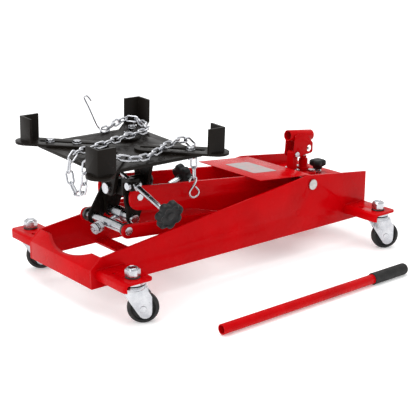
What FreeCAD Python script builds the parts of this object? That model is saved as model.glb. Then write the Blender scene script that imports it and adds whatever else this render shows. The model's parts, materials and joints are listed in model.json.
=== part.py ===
import FreeCAD, Part
import math
import os
from types import SimpleNamespace

import Sketcher
from FreeCAD import Placement, Rotation, Vector

# A low-profile transmission jack, in millimetres. +X runs from the front to the rear,
# +Y to the right-hand side as the operator behind the jack sees it, and +Z up.
# The origin is on the floor, on the middle plane, half way along the side rails.

DIMENSIONS = {
    # side rails and cross members
    "frame_length": 937, "rail_outer": 143, "plate_thick": 6, "rail_low": 66,
    "nose_top": 113, "nose_run": 30, "nose_slope_top": 139,
    "hump_from_front": 709, "hump_top": 223, "rail_rear_top": 197,
    "strip_from_front": 194, "strip_width": 43, "deck_from_front": 846, "deck_top": 174,
    "front_dip": 21, "front_dip_half": 100, "hump_round": 30, "valve_hole": 9,
    # lifting linkage: a parallelogram whose two front pins keep their offset
    "pivot_from_front": 721, "pivot_height": 196, "pivot_radius": 12,
    "lift_reach": 527, "lift_rise": 45.5, "coupler_run": 52, "coupler_drop": 71.5,
    "pin_radius": 9, "link_pin_radius": 8, "shaft_radius": 12, "running_gap": 0.05, "open_gap": 0.3,
    "arm_outer": 73, "arm_thick": 8, "arm_nose": 29, "link_outer": 96, "link_thick": 7,
    "seat_drop": 7.5, "seat_rise": 22, "level_thick": 6, "ring_radius": 17, "ring_length": 8,
    "link_half": 18, "cover_half": 130, "cover_from_front": 540, "cover_rear_from_front": 727,
    "cover_thick": 2,
    # hydraulic unit
    "crank_length": 66, "crank_wall": 8, "roller_pin_radius": 6,
    "ram_roller_radius": 11, "ram_radius": 20, "ram_gap": 1.5, "ram_length": 92,
    "cylinder_radius": 30, "ram_face_from_front": 756, "cylinder_foot": 22, "block_half": 42,
    "block_from_front": 772, "block_rear_from_front": 842, "block_top": 192,
    "plunger_from_front": 825, "pump_radius": 13, "pump_top": 234, "plunger_radius": 7,
    "pump_nut": 30, "pump_collar": 9.5, "post_foot": 6,
    "fulcrum_from_front": 779, "fulcrum_height": 247, "fulcrum_radius": 5,
    "socket_from_front": 761, "socket_length": 90, "socket_radius": 15.5, "socket_bore": 13,
    "socket_height": 301.5, "socket_fall": 6.6, "ear_thick": 3, "ear_window": 9.5,
    "release_from_front": 885, "release_radius": 24, "release_lobe_out": 13, "release_nut": 22,
    # casters
    "stem_from_front": 55, "stem_from_rear": 45, "stem_out": 234, "bracket_out": 267,
    "bracket_front": 43, "bracket_back": 37, "bracket_top": 112, "lip_drop": 23,
    "bracket_round": 12, "tie_hole_radius": 6, "tie_hole_out": 44, "tie_hole_ahead": 18,
    "stem_radius": 10, "stem_below": 22, "stem_length": 54, "stem_foot": 14, "stem_foot_thick": 2.5,
    "race_radius": 22, "race_thick": 6, "seal_radius": 16, "seal_thick": 3,
    "washer_radius": 18, "washer_thick": 3, "nut_high": 17, "nut_low_radius": 19.5,
    "nut_top_radius": 14.6, "wheel_radius": 38, "wheel_width": 23, "caster_trail": 22.6,
    "caster_heading": 32.7, "axle_radius": 5, "axle_nut": 15, "fork_wall": 2.5, "fork_gap": 1.5,
    "crown_radius": 19, "hub_radius": 13, "tread_depth": 10, "dish_depth": 5,
    # tilting head
    "head_tilt_drop": 58.5, "head_tilt_back": 9, "cheek_outer": 52, "cheek_thick": 8,
    "roll_height": 258, "roll_front": 142, "roll_radius": 9, "bearing_radius": 18,
    "screw_radius": 6, "screw_slope": 17, "screw_front": 46, "screw_back": 268,
    "knob_radius": 37, "knob_depth": 22, "knob_lobe_out": 26, "knob_neck": 11, "knob_boss": 14,
    "screw_nut": 24, "screw_nut_length": 10, "sleeve_radius": 9.5, "sleeve_length": 34,
    "bearing_length": 90, "bearing_set_back": 16, "trunnion_boss": 18, "tilt_room": 8,
    "side_screw_from_front": 166, "side_swivel_out": 84, "side_swivel_height": 284,
    "side_slope": 17.5, "side_screw_inner": 98, "side_screw_outer": 164,
    "swivel_half": 12, "swivel_wall": 9, "swivel_bolt_radius": 10,
    # saddle
    "saddle_roll": 2.75, "saddle_from_front": 184, "saddle_half": 150, "saddle_top": 355,
    "saddle_thick": 8, "bar_width": 64, "bar_thick": 6, "bar_length": 236,
    "slot_width": 13, "slot_tip": 60, "bolt_inner": 108, "bolt_outer": 176, "bolt_radius": 6,
    "angle_leg": 50, "angle_height": 62, "angle_thick": 6, "angle_inset": 12,
    "saddle_round": 14, "bar_rest": 0.3, "slot_inner_end": 14, "lug_thick": 10,
    "bolt_nut": 18, "bolt_head_high": 7, "bolt_nut_high": 9.7, "roll_head": 14,
    "roll_spacer": 12, "roll_washer": 17, "roll_washer_thick": 5,
    # handle
    "handle_out": 423, "handle_from_front": 164, "handle_length": 628, "handle_radius": 12.7,
    "handle_wall": 2.5, "grip_radius": 15.5, "grip_length": 126,
    # load chain
    "chain_radius": 8, "hook_wire": 4.5, "s_hook_wire": 5,
}


class Size:
    """A length kept both as a number and as the expression that drives the document."""

    def __init__(self, text, value):
        self.text = text
        self.value = value

    def combine(self, sign, other, value):
        return Size(f"({self.text} {sign} {text_of(other)})", value)

    def __add__(self, other):
        return self.combine("+", other, self.value + value_of(other))

    def __sub__(self, other):
        return self.combine("-", other, self.value - value_of(other))

    def __mul__(self, other):
        return self.combine("*", other, self.value * value_of(other))

    def __truediv__(self, other):
        return self.combine("/", other, self.value / value_of(other))

    def __neg__(self):
        return self * -1

    def __radd__(self, other):
        return self + other

    def __rmul__(self, other):
        return self * other

    def __rsub__(self, other):
        return other + -self


def text_of(size):
    return size.text if isinstance(size, Size) else repr(float(size))


def value_of(size):
    return size.value if isinstance(size, Size) else float(size)


doc = FreeCAD.newDocument("TransmissionJack")
sheet = doc.addObject("Spreadsheet::Sheet", "Dims")
for row, (alias, number) in enumerate(DIMENSIONS.items(), 1):
    sheet.set(f"A{row}", alias.replace("_", " "))
    sheet.set(f"B{row}", str(number))
    sheet.setAlias(f"B{row}", alias)
doc.recompute()
d = SimpleNamespace(**{alias: Size(f"Dims.{alias}", number) for alias, number in DIMENSIONS.items()})

X = Vector(1, 0, 0)
Y = Vector(0, 1, 0)
Z = Vector(0, 0, 1)
TURN = {"X": Rotation(Y, 90), "Y": Rotation(X, -90), "Z": Rotation()}
PLANE_AXIS = {"XY_Plane": "Z", "XZ_Plane": "Y", "YZ_Plane": "X"}
parts = []


def from_front(distance):
    """Place along X of a point that lies a distance behind the front of the rails."""
    return distance - d.frame_length / 2


def bind(item, sizes):
    for prop, size in sizes.items():
        item.setExpression(prop, text_of(size))
    return item


def place(item, at, turn=Rotation()):
    item.Placement = Placement(Vector(*[value_of(size) for size in at]), turn)
    return bind(item, {f"Placement.Base.{axis}": size for axis, size in zip("xyz", at)})


def part(item, label):
    """Mark a document object as a finished sub-part under its own name."""
    item.Label = label
    parts.append(item)
    return item


def box(low, high):
    item = doc.addObject("Part::Box", "Block")
    bind(item, {"Length": high[0] - low[0], "Width": high[1] - low[1], "Height": high[2] - low[2]})
    return place(item, low)


def rod(start, axis, length, radius):
    item = doc.addObject("Part::Cylinder", "Rod")
    bind(item, {"Radius": radius, "Height": length})
    return place(item, start, TURN[axis] if isinstance(axis, str) else axis)


def cone(start, axis, length, radius_start, radius_end):
    item = doc.addObject("Part::Cone", "Cone")
    bind(item, {"Radius1": radius_start, "Radius2": radius_end, "Height": length})
    return place(item, start, TURN[axis] if isinstance(axis, str) else axis)


def hexagon(start, axis, length, across_flats):
    item = doc.addObject("Part::Prism", "Hexagon")
    item.Polygon = 6
    bind(item, {"Circumradius": across_flats / math.sqrt(3), "Height": length})
    return place(item, start, TURN[axis] if isinstance(axis, str) else axis)


def fuse(*items):
    item = doc.addObject("Part::MultiFuse", "Union")
    item.Shapes = list(items)
    return item


def cut(base, *tools):
    item = doc.addObject("Part::Cut", "Difference")
    item.Base = base
    item.Tool = tools[0] if len(tools) == 1 else fuse(*tools)
    return item


def common(*items):
    item = doc.addObject("Part::MultiCommon", "Overlap")
    item.Shapes = list(items)
    return item


def group(*items):
    """Several separate solids kept as one sub-part."""
    item = doc.addObject("Part::Compound", "Group")
    item.Links = list(items)
    return item


def draw_outline(sketch, points):
    """Draw a closed outline whose every corner is bound to the sheet."""
    count = len(points)
    for index, point in enumerate(points):
        following = points[(index + 1) % count]
        start = Vector(value_of(point[0]), value_of(point[1]), 0)
        end = Vector(value_of(following[0]), value_of(following[1]), 0)
        sketch.addGeometry(Part.LineSegment(start, end), False)
    for index in range(count):
        sketch.addConstraint(Sketcher.Constraint("Coincident", index, 2, (index + 1) % count, 1))
    for index, point in enumerate(points):
        fix_point(sketch, index, 1, point)


def fix_point(sketch, geometry, end, point):
    for kind, size in zip(("DistanceX", "DistanceY"), point):
        number = sketch.addConstraint(
            Sketcher.Constraint(kind, -1, 1, geometry, end, value_of(size)))
        sketch.setExpression(f"Constraints[{number}]", text_of(size))


def draw_circle(sketch, centre, radius):
    middle = Vector(value_of(centre[0]), value_of(centre[1]), 0)
    circle = sketch.addGeometry(Part.Circle(middle, Z, value_of(radius)), False)
    number = sketch.addConstraint(Sketcher.Constraint("Radius", circle, value_of(radius)))
    sketch.setExpression(f"Constraints[{number}]", text_of(radius))
    fix_point(sketch, circle, 3, centre)


def plate(name, plane, outline, start, thickness, corners=(), holes=()):
    """A flat plate: an outline on an origin plane, padded, with rounded corners and round holes.

    start is where its lowest face lies along the plane's normal axis; corners is a list of
    (index in the outline, radius); holes is a list of (centre, radius).
    """
    body = doc.addObject("PartDesign::Body", name)
    sketch = body.newObject("Sketcher::SketchObject", f"{name}_outline")
    origin_plane = [item for item in body.Origin.OriginFeatures if item.Role == plane][0]
    sketch.AttachmentSupport = (origin_plane, [""])
    sketch.MapMode = "FlatFace"
    draw_outline(sketch, outline)
    for centre, radius in holes:
        draw_circle(sketch, centre, radius)
    pad = body.newObject("PartDesign::Pad", f"{name}_pad")
    pad.Profile = sketch
    pad.Reversed = plane == "XZ_Plane"
    bind(pad, {"Length": thickness})
    doc.recompute()
    for index, radius in corners:
        round_corner(body, plane, outline[index], radius)
    bind(body, {f"Placement.Base.{PLANE_AXIS[plane].lower()}": start})
    return body


def round_corner(body, plane, corner, radius):
    base = body.Tip
    axes = {"XY_Plane": "xy", "XZ_Plane": "xz", "YZ_Plane": "yz"}[plane]
    edges = []
    for number, edge in enumerate(base.Shape.Edges, 1):
        away = [abs(getattr(vertex.Point, axis) - value_of(size))
                for vertex in edge.Vertexes for axis, size in zip(axes, corner)]
        if len(edge.Vertexes) == 2 and max(away) < 0.01:
            edges.append(f"Edge{number}")
    fillet = body.newObject("PartDesign::Fillet", "Rounding")
    fillet.Base = (base, edges)
    bind(fillet, {"Radius": radius})
    doc.recompute()


def mirrored(name, build):
    """The same piece on the left (-Y) and on the right (+Y) of the jack."""
    for side, sign in (("left", -1), ("right", 1)):
        part(build(sign), f"{side}_{name}")


def span(sign, inner, outer):
    """Lowest face and thickness of a plate between two distances from the middle plane."""
    return (inner if sign > 0 else -outer), outer - inner


pivot = (from_front(d.pivot_from_front), d.pivot_height)
upper_pin = (pivot[0] - d.lift_reach, pivot[1] + d.lift_rise)
lower_pin = (upper_pin[0] - d.coupler_run, upper_pin[1] - d.coupler_drop)
lower_pivot = (pivot[0] - d.coupler_run, pivot[1] - d.coupler_drop)
rail_inner = d.rail_outer - d.plate_thick
arm_inner = d.arm_outer - d.arm_thick
link_inner = d.link_outer - d.link_thick
front = from_front(0)
rear = from_front(d.frame_length)
stems = [(from_front(d.stem_from_front), "front"), (rear - d.stem_from_rear, "rear")]


# ---- frame -------------------------------------------------------------------------------

def rail(sign):
    outline = [(front, d.rail_low), (rear, d.rail_low), (rear, d.rail_rear_top),
               (from_front(d.hump_from_front), d.hump_top),
               (front + d.nose_run, d.nose_slope_top), (front, d.nose_top)]
    start, thickness = span(sign, rail_inner, d.rail_outer)
    holes = [(pivot, d.pivot_radius + d.running_gap),
             (lower_pivot, d.link_pin_radius + d.running_gap)]
    return plate("Rail", "XZ_Plane", outline, start, thickness, [(3, d.hump_round)], holes)


def front_cross_plate():
    outline = [(front, d.rail_low), (front + d.plate_thick, d.rail_low),
               (front + d.plate_thick, d.nose_top - 3),
               (front + d.nose_run + d.plate_thick, d.nose_slope_top - 3),
               (front + d.nose_run, d.nose_slope_top), (front, d.nose_top)]
    bent = plate("Front", "XZ_Plane", outline, -rail_inner, rail_inner * 2)
    dip_radius = (d.front_dip_half * d.front_dip_half / d.front_dip + d.front_dip) / 2
    hollow = rod((front - 10, 0, d.nose_slope_top - d.front_dip + dip_radius), "X", 60, dip_radius)
    return cut(bent, hollow)


def cross_strip():
    low = (from_front(d.strip_from_front), -rail_inner, d.rail_low)
    high = (low[0] + d.strip_width, rail_inner, d.rail_low + d.plate_thick)
    return box(low, high)


def rear_deck():
    start = from_front(d.deck_from_front)
    outline = [(rear - d.plate_thick, d.rail_low), (rear, d.rail_low), (rear, d.deck_top),
               (start, d.deck_top), (start, d.deck_top - d.plate_thick),
               (rear - d.plate_thick, d.deck_top - d.plate_thick)]
    bent = plate("Deck", "XZ_Plane", outline, -rail_inner, rail_inner * 2, [(2, 5)])
    valve = (from_front(d.release_from_front), 0, d.deck_top - 20)
    return cut(bent, rod(valve, "Z", 40, d.valve_hole))


def caster_bracket(middle, sign):
    """A formed plate: a flat top with its front edge bent down to a lip."""
    start = middle - d.bracket_front
    top = d.bracket_top
    outline = [(start, top - d.lip_drop), (start + d.plate_thick, top - d.lip_drop),
               (start + d.plate_thick, top - d.plate_thick),
               (middle + d.bracket_back, top - d.plate_thick), (middle + d.bracket_back, top),
               (start, top)]
    low, width = span(sign, d.rail_outer, d.bracket_out)
    formed = plate("Bracket", "XZ_Plane", outline, low, width, [(5, 9), (2, 4)])
    trim = [(start, d.rail_outer * sign), (middle + d.bracket_back, d.rail_outer * sign),
            (middle + d.bracket_back, d.bracket_out * sign), (start, d.bracket_out * sign)]
    if sign < 0:
        trim = trim[::-1]
    outer_corners = (2, 3) if sign > 0 else (0, 1)
    blank = plate("BracketBlank", "XY_Plane", trim, d.rail_low, d.bracket_top,
                  [(index, d.bracket_round) for index in outer_corners])
    tie_hole = (middle - d.tie_hole_ahead, (d.rail_outer + d.tie_hole_out) * sign, d.rail_low)
    return cut(common(formed, blank),
               rod((middle, d.stem_out * sign, d.rail_low), "Z", 80, d.stem_radius + d.running_gap),
               rod(tie_hole, "Z", 80, d.tie_hole_radius))


def caster_stem(middle, sign):
    """A threaded stem with the two fixed races that the swivel turns under."""
    at = (middle, d.stem_out * sign)
    under = d.bracket_top - d.plate_thick
    seal = under - d.race_thick - d.seal_thick
    foot = under - d.stem_below - d.stem_foot_thick
    return fuse(rod((*at, under - d.stem_below), "Z", d.stem_length, d.stem_radius),
                rod((*at, under - d.race_thick), "Z", d.race_thick, d.race_radius),
                rod((*at, seal), "Z", d.seal_thick, d.seal_radius),
                rod((*at, foot), "Z", d.stem_foot_thick, d.stem_foot))


def stem_nut(middle, sign):
    at = (middle, d.stem_out * sign, d.bracket_top + d.washer_thick)
    return common(cut(hexagon(at, "Z", d.nut_high, d.stem_radius * 3),
                      rod(at, "Z", 30, d.stem_radius + d.running_gap)),
                  cone(at, "Z", d.nut_high + 0.5, d.nut_low_radius, d.nut_top_radius))


def stem_washer(middle, sign):
    at = (middle, d.stem_out * sign, d.bracket_top)
    return cut(rod(at, "Z", d.washer_thick, d.washer_radius),
               rod(at, "Z", d.washer_thick * 2, d.stem_radius + d.running_gap))


def at_each_caster(build):
    return group(*[build(middle, sign) for middle, _ in stems for sign in (-1, 1)])


def main_pivot():
    reach = d.rail_outer + 5
    shaft = rod((pivot[0], -reach, pivot[1]), "Y", reach * 2, d.pivot_radius)
    heads = [rod((pivot[0], start, pivot[1]), "Y", 4.5, d.pivot_radius + 2.5)
             for start in (-reach, d.rail_outer + 0.5)]
    return fuse(shaft, *heads)


def lower_pivot_shaft():
    return rod((lower_pivot[0], -d.rail_outer, lower_pivot[1]), "Y", d.rail_outer * 2,
               d.link_pin_radius)


ram_height = pivot[1] - d.crank_length
ram_face = from_front(d.ram_face_from_front)


def pump_block():
    """The casting that holds the oil: its top carries the pump and the handle's fulcrum."""
    start = from_front(d.block_from_front)
    end = from_front(d.block_rear_from_front)
    outline = [(start, -d.block_half), (end, -d.block_half), (end, d.block_half),
               (start, d.block_half)]
    low = d.rail_low + 8
    block = plate("Block", "XY_Plane", outline, low, d.block_top - low,
                  [(index, 10) for index in range(4)])
    pump_at = (from_front(d.plunger_from_front), 0, ram_height)
    return cut(block, rod((ram_face, 0, ram_height), "X", 200, d.cylinder_radius + d.running_gap),
               rod(pump_at, "Z", 100, d.pump_radius + d.running_gap))


def ram_cylinder():
    length = from_front(d.block_rear_from_front) - ram_face
    depth = length - 6
    barrel = cut(rod((ram_face, 0, ram_height), "X", length, d.cylinder_radius),
                 rod((ram_face - 1, 0, ram_height), "X", depth, d.ram_radius + d.running_gap))
    foot = rod((from_front(d.block_rear_from_front), 0, ram_height), "X", 8, d.cylinder_foot)
    return fuse(barrel, foot)


def ram_piston():
    start = pivot[0] + d.ram_roller_radius + d.ram_gap
    return rod((start, 0, ram_height), "X", d.ram_length, d.ram_radius)


def pump_cylinder():
    at = (from_front(d.plunger_from_front), 0)
    low = ram_height + d.cylinder_radius + 1
    barrel = fuse(rod((*at, low), "Z", d.pump_top - 8 - low, d.pump_radius),
                  hexagon((*at, d.block_top), "Z", 9, d.pump_nut),
                  rod((*at, d.pump_top - 9), "Z", 9, d.pump_collar))
    return cut(barrel, rod((*at, d.block_top - 5), "Z", 60, d.plunger_radius + d.running_gap))


fulcrum = (from_front(d.fulcrum_from_front), d.fulcrum_height)
plunger_pin = (from_front(d.plunger_from_front), d.fulcrum_height + 11)


def fulcrum_post():
    """Two upright ears on a foot, with the pin that the handle socket rocks on."""
    low = d.block_top
    outline = [(fulcrum[0] - 7, low), (fulcrum[0] + 9, low), (fulcrum[0] + 9, fulcrum[1] + 8),
               (fulcrum[0] - 7, fulcrum[1] + 8)]
    post = plate("Post", "XZ_Plane", outline, -d.pump_radius, d.pump_radius * 2,
                 [(2, 6), (3, 6)], [(fulcrum, d.fulcrum_radius + d.running_gap)])
    foot = box((fulcrum[0] - 7, -d.post_foot * 4, low),
               (fulcrum[0] + 14, d.post_foot * 4, low + d.post_foot))
    return fuse(post, foot)


def fulcrum_pin():
    return fuse(rod((fulcrum[0], -21, fulcrum[1]), "Y", 42, d.fulcrum_radius),
                rod((fulcrum[0], -24, fulcrum[1]), "Y", 3, 8),
                rod((fulcrum[0], 21, fulcrum[1]), "Y", 3, 8))


def unit_screws():
    """Hex screws: two through the post's foot and two in the casting's top."""
    heads = []
    for sign in (-1, 1):
        foot_screw = (fulcrum[0] + 3, sign * 19, d.block_top + d.post_foot)
        block_screw = (fulcrum[0] + 50, sign * 30, d.block_top)
        heads.append(hexagon(foot_screw, "Z", 5, d.fulcrum_radius * 1.6))
        heads.append(hexagon(block_screw, "Z", 6, d.fulcrum_radius * 2.2))
    return heads


part(rail(-1), "left_rail")
part(rail(1), "right_rail")
part(front_cross_plate(), "front_cross_plate")
part(cross_strip(), "cross_strip")
part(rear_deck(), "rear_deck")
part(at_each_caster(caster_bracket), "caster_brackets")
part(at_each_caster(caster_stem), "caster_stems")
part(at_each_caster(stem_nut), "caster_nuts")
part(at_each_caster(stem_washer), "caster_washers")
part(group(main_pivot(), lower_pivot_shaft()), "pivot_shafts")
part(pump_block(), "pump_block")
part(ram_cylinder(), "ram_cylinder")
part(ram_piston(), "ram_piston")
part(pump_cylinder(), "pump_cylinder")
part(fulcrum_post(), "fulcrum_post")
part(group(fulcrum_pin(), *unit_screws()), "pump_fasteners")


# ---- lift arm ----------------------------------------------------------------------------

def arm_plate(sign):
    """A deep side plate, thickest at its rear pivot, with the cover's seat on its top edge."""
    seat_rear = from_front(d.cover_rear_from_front)
    outline = [(upper_pin[0] - d.arm_nose, upper_pin[1] - d.arm_nose),
               (upper_pin[0] + 160, upper_pin[1] - 60),
               (from_front(d.cover_from_front) - 20, upper_pin[1] - 105),
               (pivot[0] - 8, pivot[1] - 26), (pivot[0] + 26, pivot[1] - 26),
               (pivot[0] + 26, pivot[1] + 16), (seat_rear, pivot[1] + d.seat_rise),
               (from_front(d.cover_from_front), upper_pin[1] - d.seat_drop),
               (upper_pin[0] + 47, upper_pin[1] + 23), (upper_pin[0], upper_pin[1] + d.arm_nose),
               (upper_pin[0] - d.arm_nose, upper_pin[1] + d.arm_nose)]
    start, thickness = span(sign, arm_inner, d.arm_outer)
    holes = [(pivot, d.pivot_radius + d.running_gap), (upper_pin, d.pin_radius + d.running_gap)]
    corners = [(0, 26), (10, 26), (4, 22), (5, 14)]
    return plate("Arm", "XZ_Plane", outline, start, thickness, corners, holes)


roller_half = d.ram_radius + 3


def ram_crank():
    """The pivot sleeve with two lugs that hang from it and carry the ram's roller."""
    sleeve = rod((pivot[0], -arm_inner, pivot[1]), "Y", arm_inner * 2, d.pivot_radius + d.crank_wall)
    lugs = []
    for sign in (-1, 1):
        start, thickness = span(sign, roller_half, roller_half + d.crank_wall)
        lug = plate("Lug", "XZ_Plane",
                    [(pivot[0] - 14, ram_height - 14), (pivot[0] + 14, ram_height - 14),
                     (pivot[0] + 16, pivot[1]), (pivot[0] - 16, pivot[1])],
                    start, thickness, [(0, 12), (1, 12)],
                    [((pivot[0], ram_height), d.roller_pin_radius)])
        lugs.append(lug)
    return cut(fuse(sleeve, *lugs),
               rod((pivot[0], -d.rail_outer, pivot[1]), "Y", d.rail_outer * 2,
                   d.pivot_radius + d.running_gap))


def ram_roller():
    reach = roller_half + d.crank_wall
    return fuse(rod((pivot[0], -reach, ram_height), "Y", reach * 2, d.roller_pin_radius),
                rod((pivot[0], -roller_half, ram_height), "Y", roller_half * 2, d.ram_roller_radius))


def cover_plate():
    """A thin flat cover that rides on the arm's top edges."""
    front_edge = from_front(d.cover_from_front)
    rear_edge = from_front(d.cover_rear_from_front)
    low = (upper_pin[1] - d.seat_drop, pivot[1] + d.seat_rise)
    outline = [(front_edge, low[0]), (rear_edge, low[1]), (rear_edge, low[1] + d.cover_thick),
               (front_edge, low[0] + d.cover_thick)]
    return plate("Cover", "XZ_Plane", outline, -d.cover_half, d.cover_half * 2)


def upper_pins():
    pins = []
    for sign in (-1, 1):
        start, length = span(sign, d.cheek_outer - d.cheek_thick + 0.3, d.arm_outer + 1.5)
        pins.append(rod((upper_pin[0], start, upper_pin[1]), "Y", length, d.pin_radius))
    return group(*pins)


mirrored("arm_plate", arm_plate)
part(ram_crank(), "ram_crank")
part(ram_roller(), "ram_roller")
part(cover_plate(), "cover_plate")
part(upper_pins(), "upper_pins")


# ---- lower links and level plate -----------------------------------------------------------

def lower_link(sign):
    slope = (lower_pin[1] - lower_pivot[1]) / d.lift_reach
    nose = lower_pin[0] - d.link_half
    tail = lower_pivot[0] + d.link_half
    outline = [(nose, lower_pin[1] - d.link_half), (tail, lower_pivot[1] - d.link_half - slope * 18),
               (tail, lower_pivot[1] + d.link_half), (nose, lower_pin[1] + d.link_half)]
    start, thickness = span(sign, link_inner, d.link_outer)
    holes = [(lower_pin, d.link_pin_radius + d.open_gap),
             (lower_pivot, d.link_pin_radius + d.running_gap)]
    return plate("Link", "XZ_Plane", outline, start, thickness,
                 [(index, 16) for index in range(4)], holes)


def level_plate():
    """Keeps the two front pins of the parallelogram in line, so that the head stays level."""
    outline = [(lower_pin[0] - 17, lower_pin[1] - 17), (lower_pin[0] + 14, lower_pin[1] - 17),
               (upper_pin[0] + 17, upper_pin[1] - 20), (upper_pin[0] + 17, upper_pin[1] + 17),
               (upper_pin[0] - 18, upper_pin[1] + 17), (lower_pin[0] - 17, lower_pin[1] + 10)]
    holes = [(upper_pin, d.pin_radius + d.running_gap), (lower_pin, d.shaft_radius)]
    return plate("Level", "XZ_Plane", outline, d.cheek_outer + 4, d.level_thick,
                 [(0, 14), (1, 8), (3, 12), (4, 12)], holes)


slope_turn = Rotation(Y, 90 - DIMENSIONS["screw_slope"])
screw_cos = math.cos(math.radians(DIMENSIONS["screw_slope"]))
screw_sin = math.sin(math.radians(DIMENSIONS["screw_slope"]))


def on_tilt_screw(distance):
    """A point on the fore-and-aft screw, measured from the lower cross shaft."""
    return (lower_pin[0] + distance * screw_cos, 0, lower_pin[1] + distance * screw_sin)


def lower_cross_shaft():
    reach = link_inner - 2
    shaft = rod((lower_pin[0], -reach, lower_pin[1]), "Y", reach * 2, d.shaft_radius)
    pins = rod((lower_pin[0], -d.link_outer - 2, lower_pin[1]), "Y", (d.link_outer + 2) * 2,
               d.link_pin_radius)
    return cut(fuse(shaft, pins),
               rod(on_tilt_screw(-34), slope_turn, 80, d.screw_radius + d.running_gap))


def cross_shaft_washers():
    """A spacer ring at each end of the shaft, half a millimetre clear of its link."""
    rings = []
    for start in (-link_inner + 0.5, link_inner - d.ring_length - 0.5):
        ring = cut(rod((lower_pin[0], start, lower_pin[1]), "Y", d.ring_length, d.ring_radius),
                   rod((lower_pin[0], start - 1, lower_pin[1]), "Y", d.ring_length + 2,
                       d.shaft_radius + d.running_gap))
        rings.append(ring)
    return group(*rings)


part(group(lower_link(-1), lower_link(1)), "lower_links")
part(level_plate(), "level_plate")
part(lower_cross_shaft(), "lower_cross_shaft")
part(cross_shaft_washers(), "cross_shaft_washers")


# ---- fore-and-aft tilt screw ---------------------------------------------------------------

def tilt_screw():
    length = d.screw_front + d.screw_back
    return fuse(rod(on_tilt_screw(-d.screw_front), slope_turn, length, d.screw_radius),
                hexagon(on_tilt_screw(-d.screw_front + 3), slope_turn, d.screw_nut_length, d.screw_nut),
                hexagon(on_tilt_screw(-27), slope_turn, d.screw_nut_length, d.screw_nut),
                rod(on_tilt_screw(d.screw_back - 62), slope_turn, d.sleeve_length, d.sleeve_radius))


KNOB_LOBES = 7


def star_knob(start, turn):
    """A knob whose rounded lobes stand round a thick disc, with a neck behind it."""
    axis = turn.multVec(Z)
    pieces = [cone(start, turn, d.knob_depth + 6, d.knob_neck, d.knob_boss),
              rod(moved(start, axis, 7), turn, d.knob_depth - 6, d.knob_lobe_out)]
    for number in range(KNOB_LOBES):
        angle = math.radians(360 * number / KNOB_LOBES)
        out = turn.multVec(Vector(math.cos(angle), math.sin(angle), 0))
        at = moved(moved(start, axis, 5), out, d.knob_lobe_out)
        pieces.append(rod(at, turn, d.knob_depth, d.knob_radius - d.knob_lobe_out))
    return fuse(*pieces)


def moved(point, axis, distance):
    return (point[0] + axis.x * distance, point[1] + axis.y * distance, point[2] + axis.z * distance)


def tilt_knob():
    start = on_tilt_screw(d.screw_back - 28)
    bore = rod(on_tilt_screw(d.screw_back - 60), slope_turn, 60, d.screw_radius + d.running_gap)
    return cut(star_knob(start, slope_turn), bore)


part(tilt_screw(), "tilt_screw")
part(tilt_knob(), "tilt_knob")


# ---- tilting head --------------------------------------------------------------------------

trunnion = (upper_pin[0] - d.head_tilt_back, upper_pin[1] - d.head_tilt_drop)
bearing_front = from_front(d.roll_front) + d.bearing_set_back


def head_frame():
    """Two cheeks that hang on the upper pins, joined under the roll shaft's bearing."""
    outline = [(trunnion[0] - 15, trunnion[1] - 15), (trunnion[0] + 15, trunnion[1] - 15),
               (upper_pin[0] + 26, upper_pin[1] - 26), (upper_pin[0] + 30, upper_pin[1] + 24),
               (upper_pin[0] - 30, upper_pin[1] + 24), (upper_pin[0] - 30, upper_pin[1] - 12),
               (trunnion[0] - 15, trunnion[1] + 18)]
    holes = [(upper_pin, d.pin_radius + d.running_gap), (trunnion, d.shaft_radius)]
    cheeks = []
    for sign in (-1, 1):
        start, thickness = span(sign, d.cheek_outer - d.cheek_thick, d.cheek_outer)
        cheeks.append(plate("Cheek", "XZ_Plane", outline, start, thickness,
                            [(0, 13), (1, 13), (4, 8), (3, 8)], holes))
    inner = d.cheek_outer - d.cheek_thick
    web = box((bearing_front + 4, -inner, d.roll_height - 14),
              (bearing_front + 60, inner, d.roll_height + 6))
    barrel = rod((bearing_front, 0, d.roll_height), "X", d.bearing_length, d.bearing_radius)
    return cut(fuse(*cheeks, web, barrel),
               rod((bearing_front - 5, 0, d.roll_height), "X", d.bearing_length + 10,
                   d.roll_radius + d.running_gap))


def tilt_trunnion():
    """The cross pin that the fore-and-aft screw draws along; its hole is wide for the tilt."""
    reach = d.cheek_outer + 3
    boss = d.trunnion_boss
    return cut(fuse(rod((trunnion[0], -reach, trunnion[1]), "Y", reach * 2, d.shaft_radius),
                    rod((trunnion[0], -boss, trunnion[1]), "Y", boss * 2, boss)),
               rod(on_tilt_screw(20), slope_turn, 60, d.screw_radius + d.tilt_room))


part(head_frame(), "head_frame")
part(tilt_trunnion(), "tilt_trunnion")


# ---- side tilt screw -----------------------------------------------------------------------

side_turn = Rotation(X, 90 + DIMENSIONS["side_slope"])
side_axis = side_turn.multVec(Z)
side_x = from_front(d.side_screw_from_front)


def on_side_screw(distance):
    """A point on the side screw, measured outward from its swivel on the head."""
    return (side_x, -d.side_swivel_out + side_axis.y * distance,
            d.side_swivel_height + side_axis.z * distance)


def side_swivel():
    """A block on the head's left cheek that the side screw turns in."""
    outer = -d.side_swivel_out - d.swivel_wall
    inner = -d.side_swivel_out + d.swivel_wall
    high = d.side_swivel_height + d.swivel_wall
    ahead = side_x - d.swivel_half
    behind = side_x + d.swivel_half
    upright = box((ahead, -d.cheek_outer - 5, d.roll_height - 10), (behind, -d.cheek_outer, high))
    shelf = box((ahead, outer, high - 11), (behind, -d.cheek_outer, high))
    block = box((ahead, outer, high - 26), (behind, inner, high + 3))
    return cut(fuse(upright, shelf, block),
               rod(on_side_screw(-50), side_turn, 90, d.screw_radius + d.running_gap))


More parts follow.
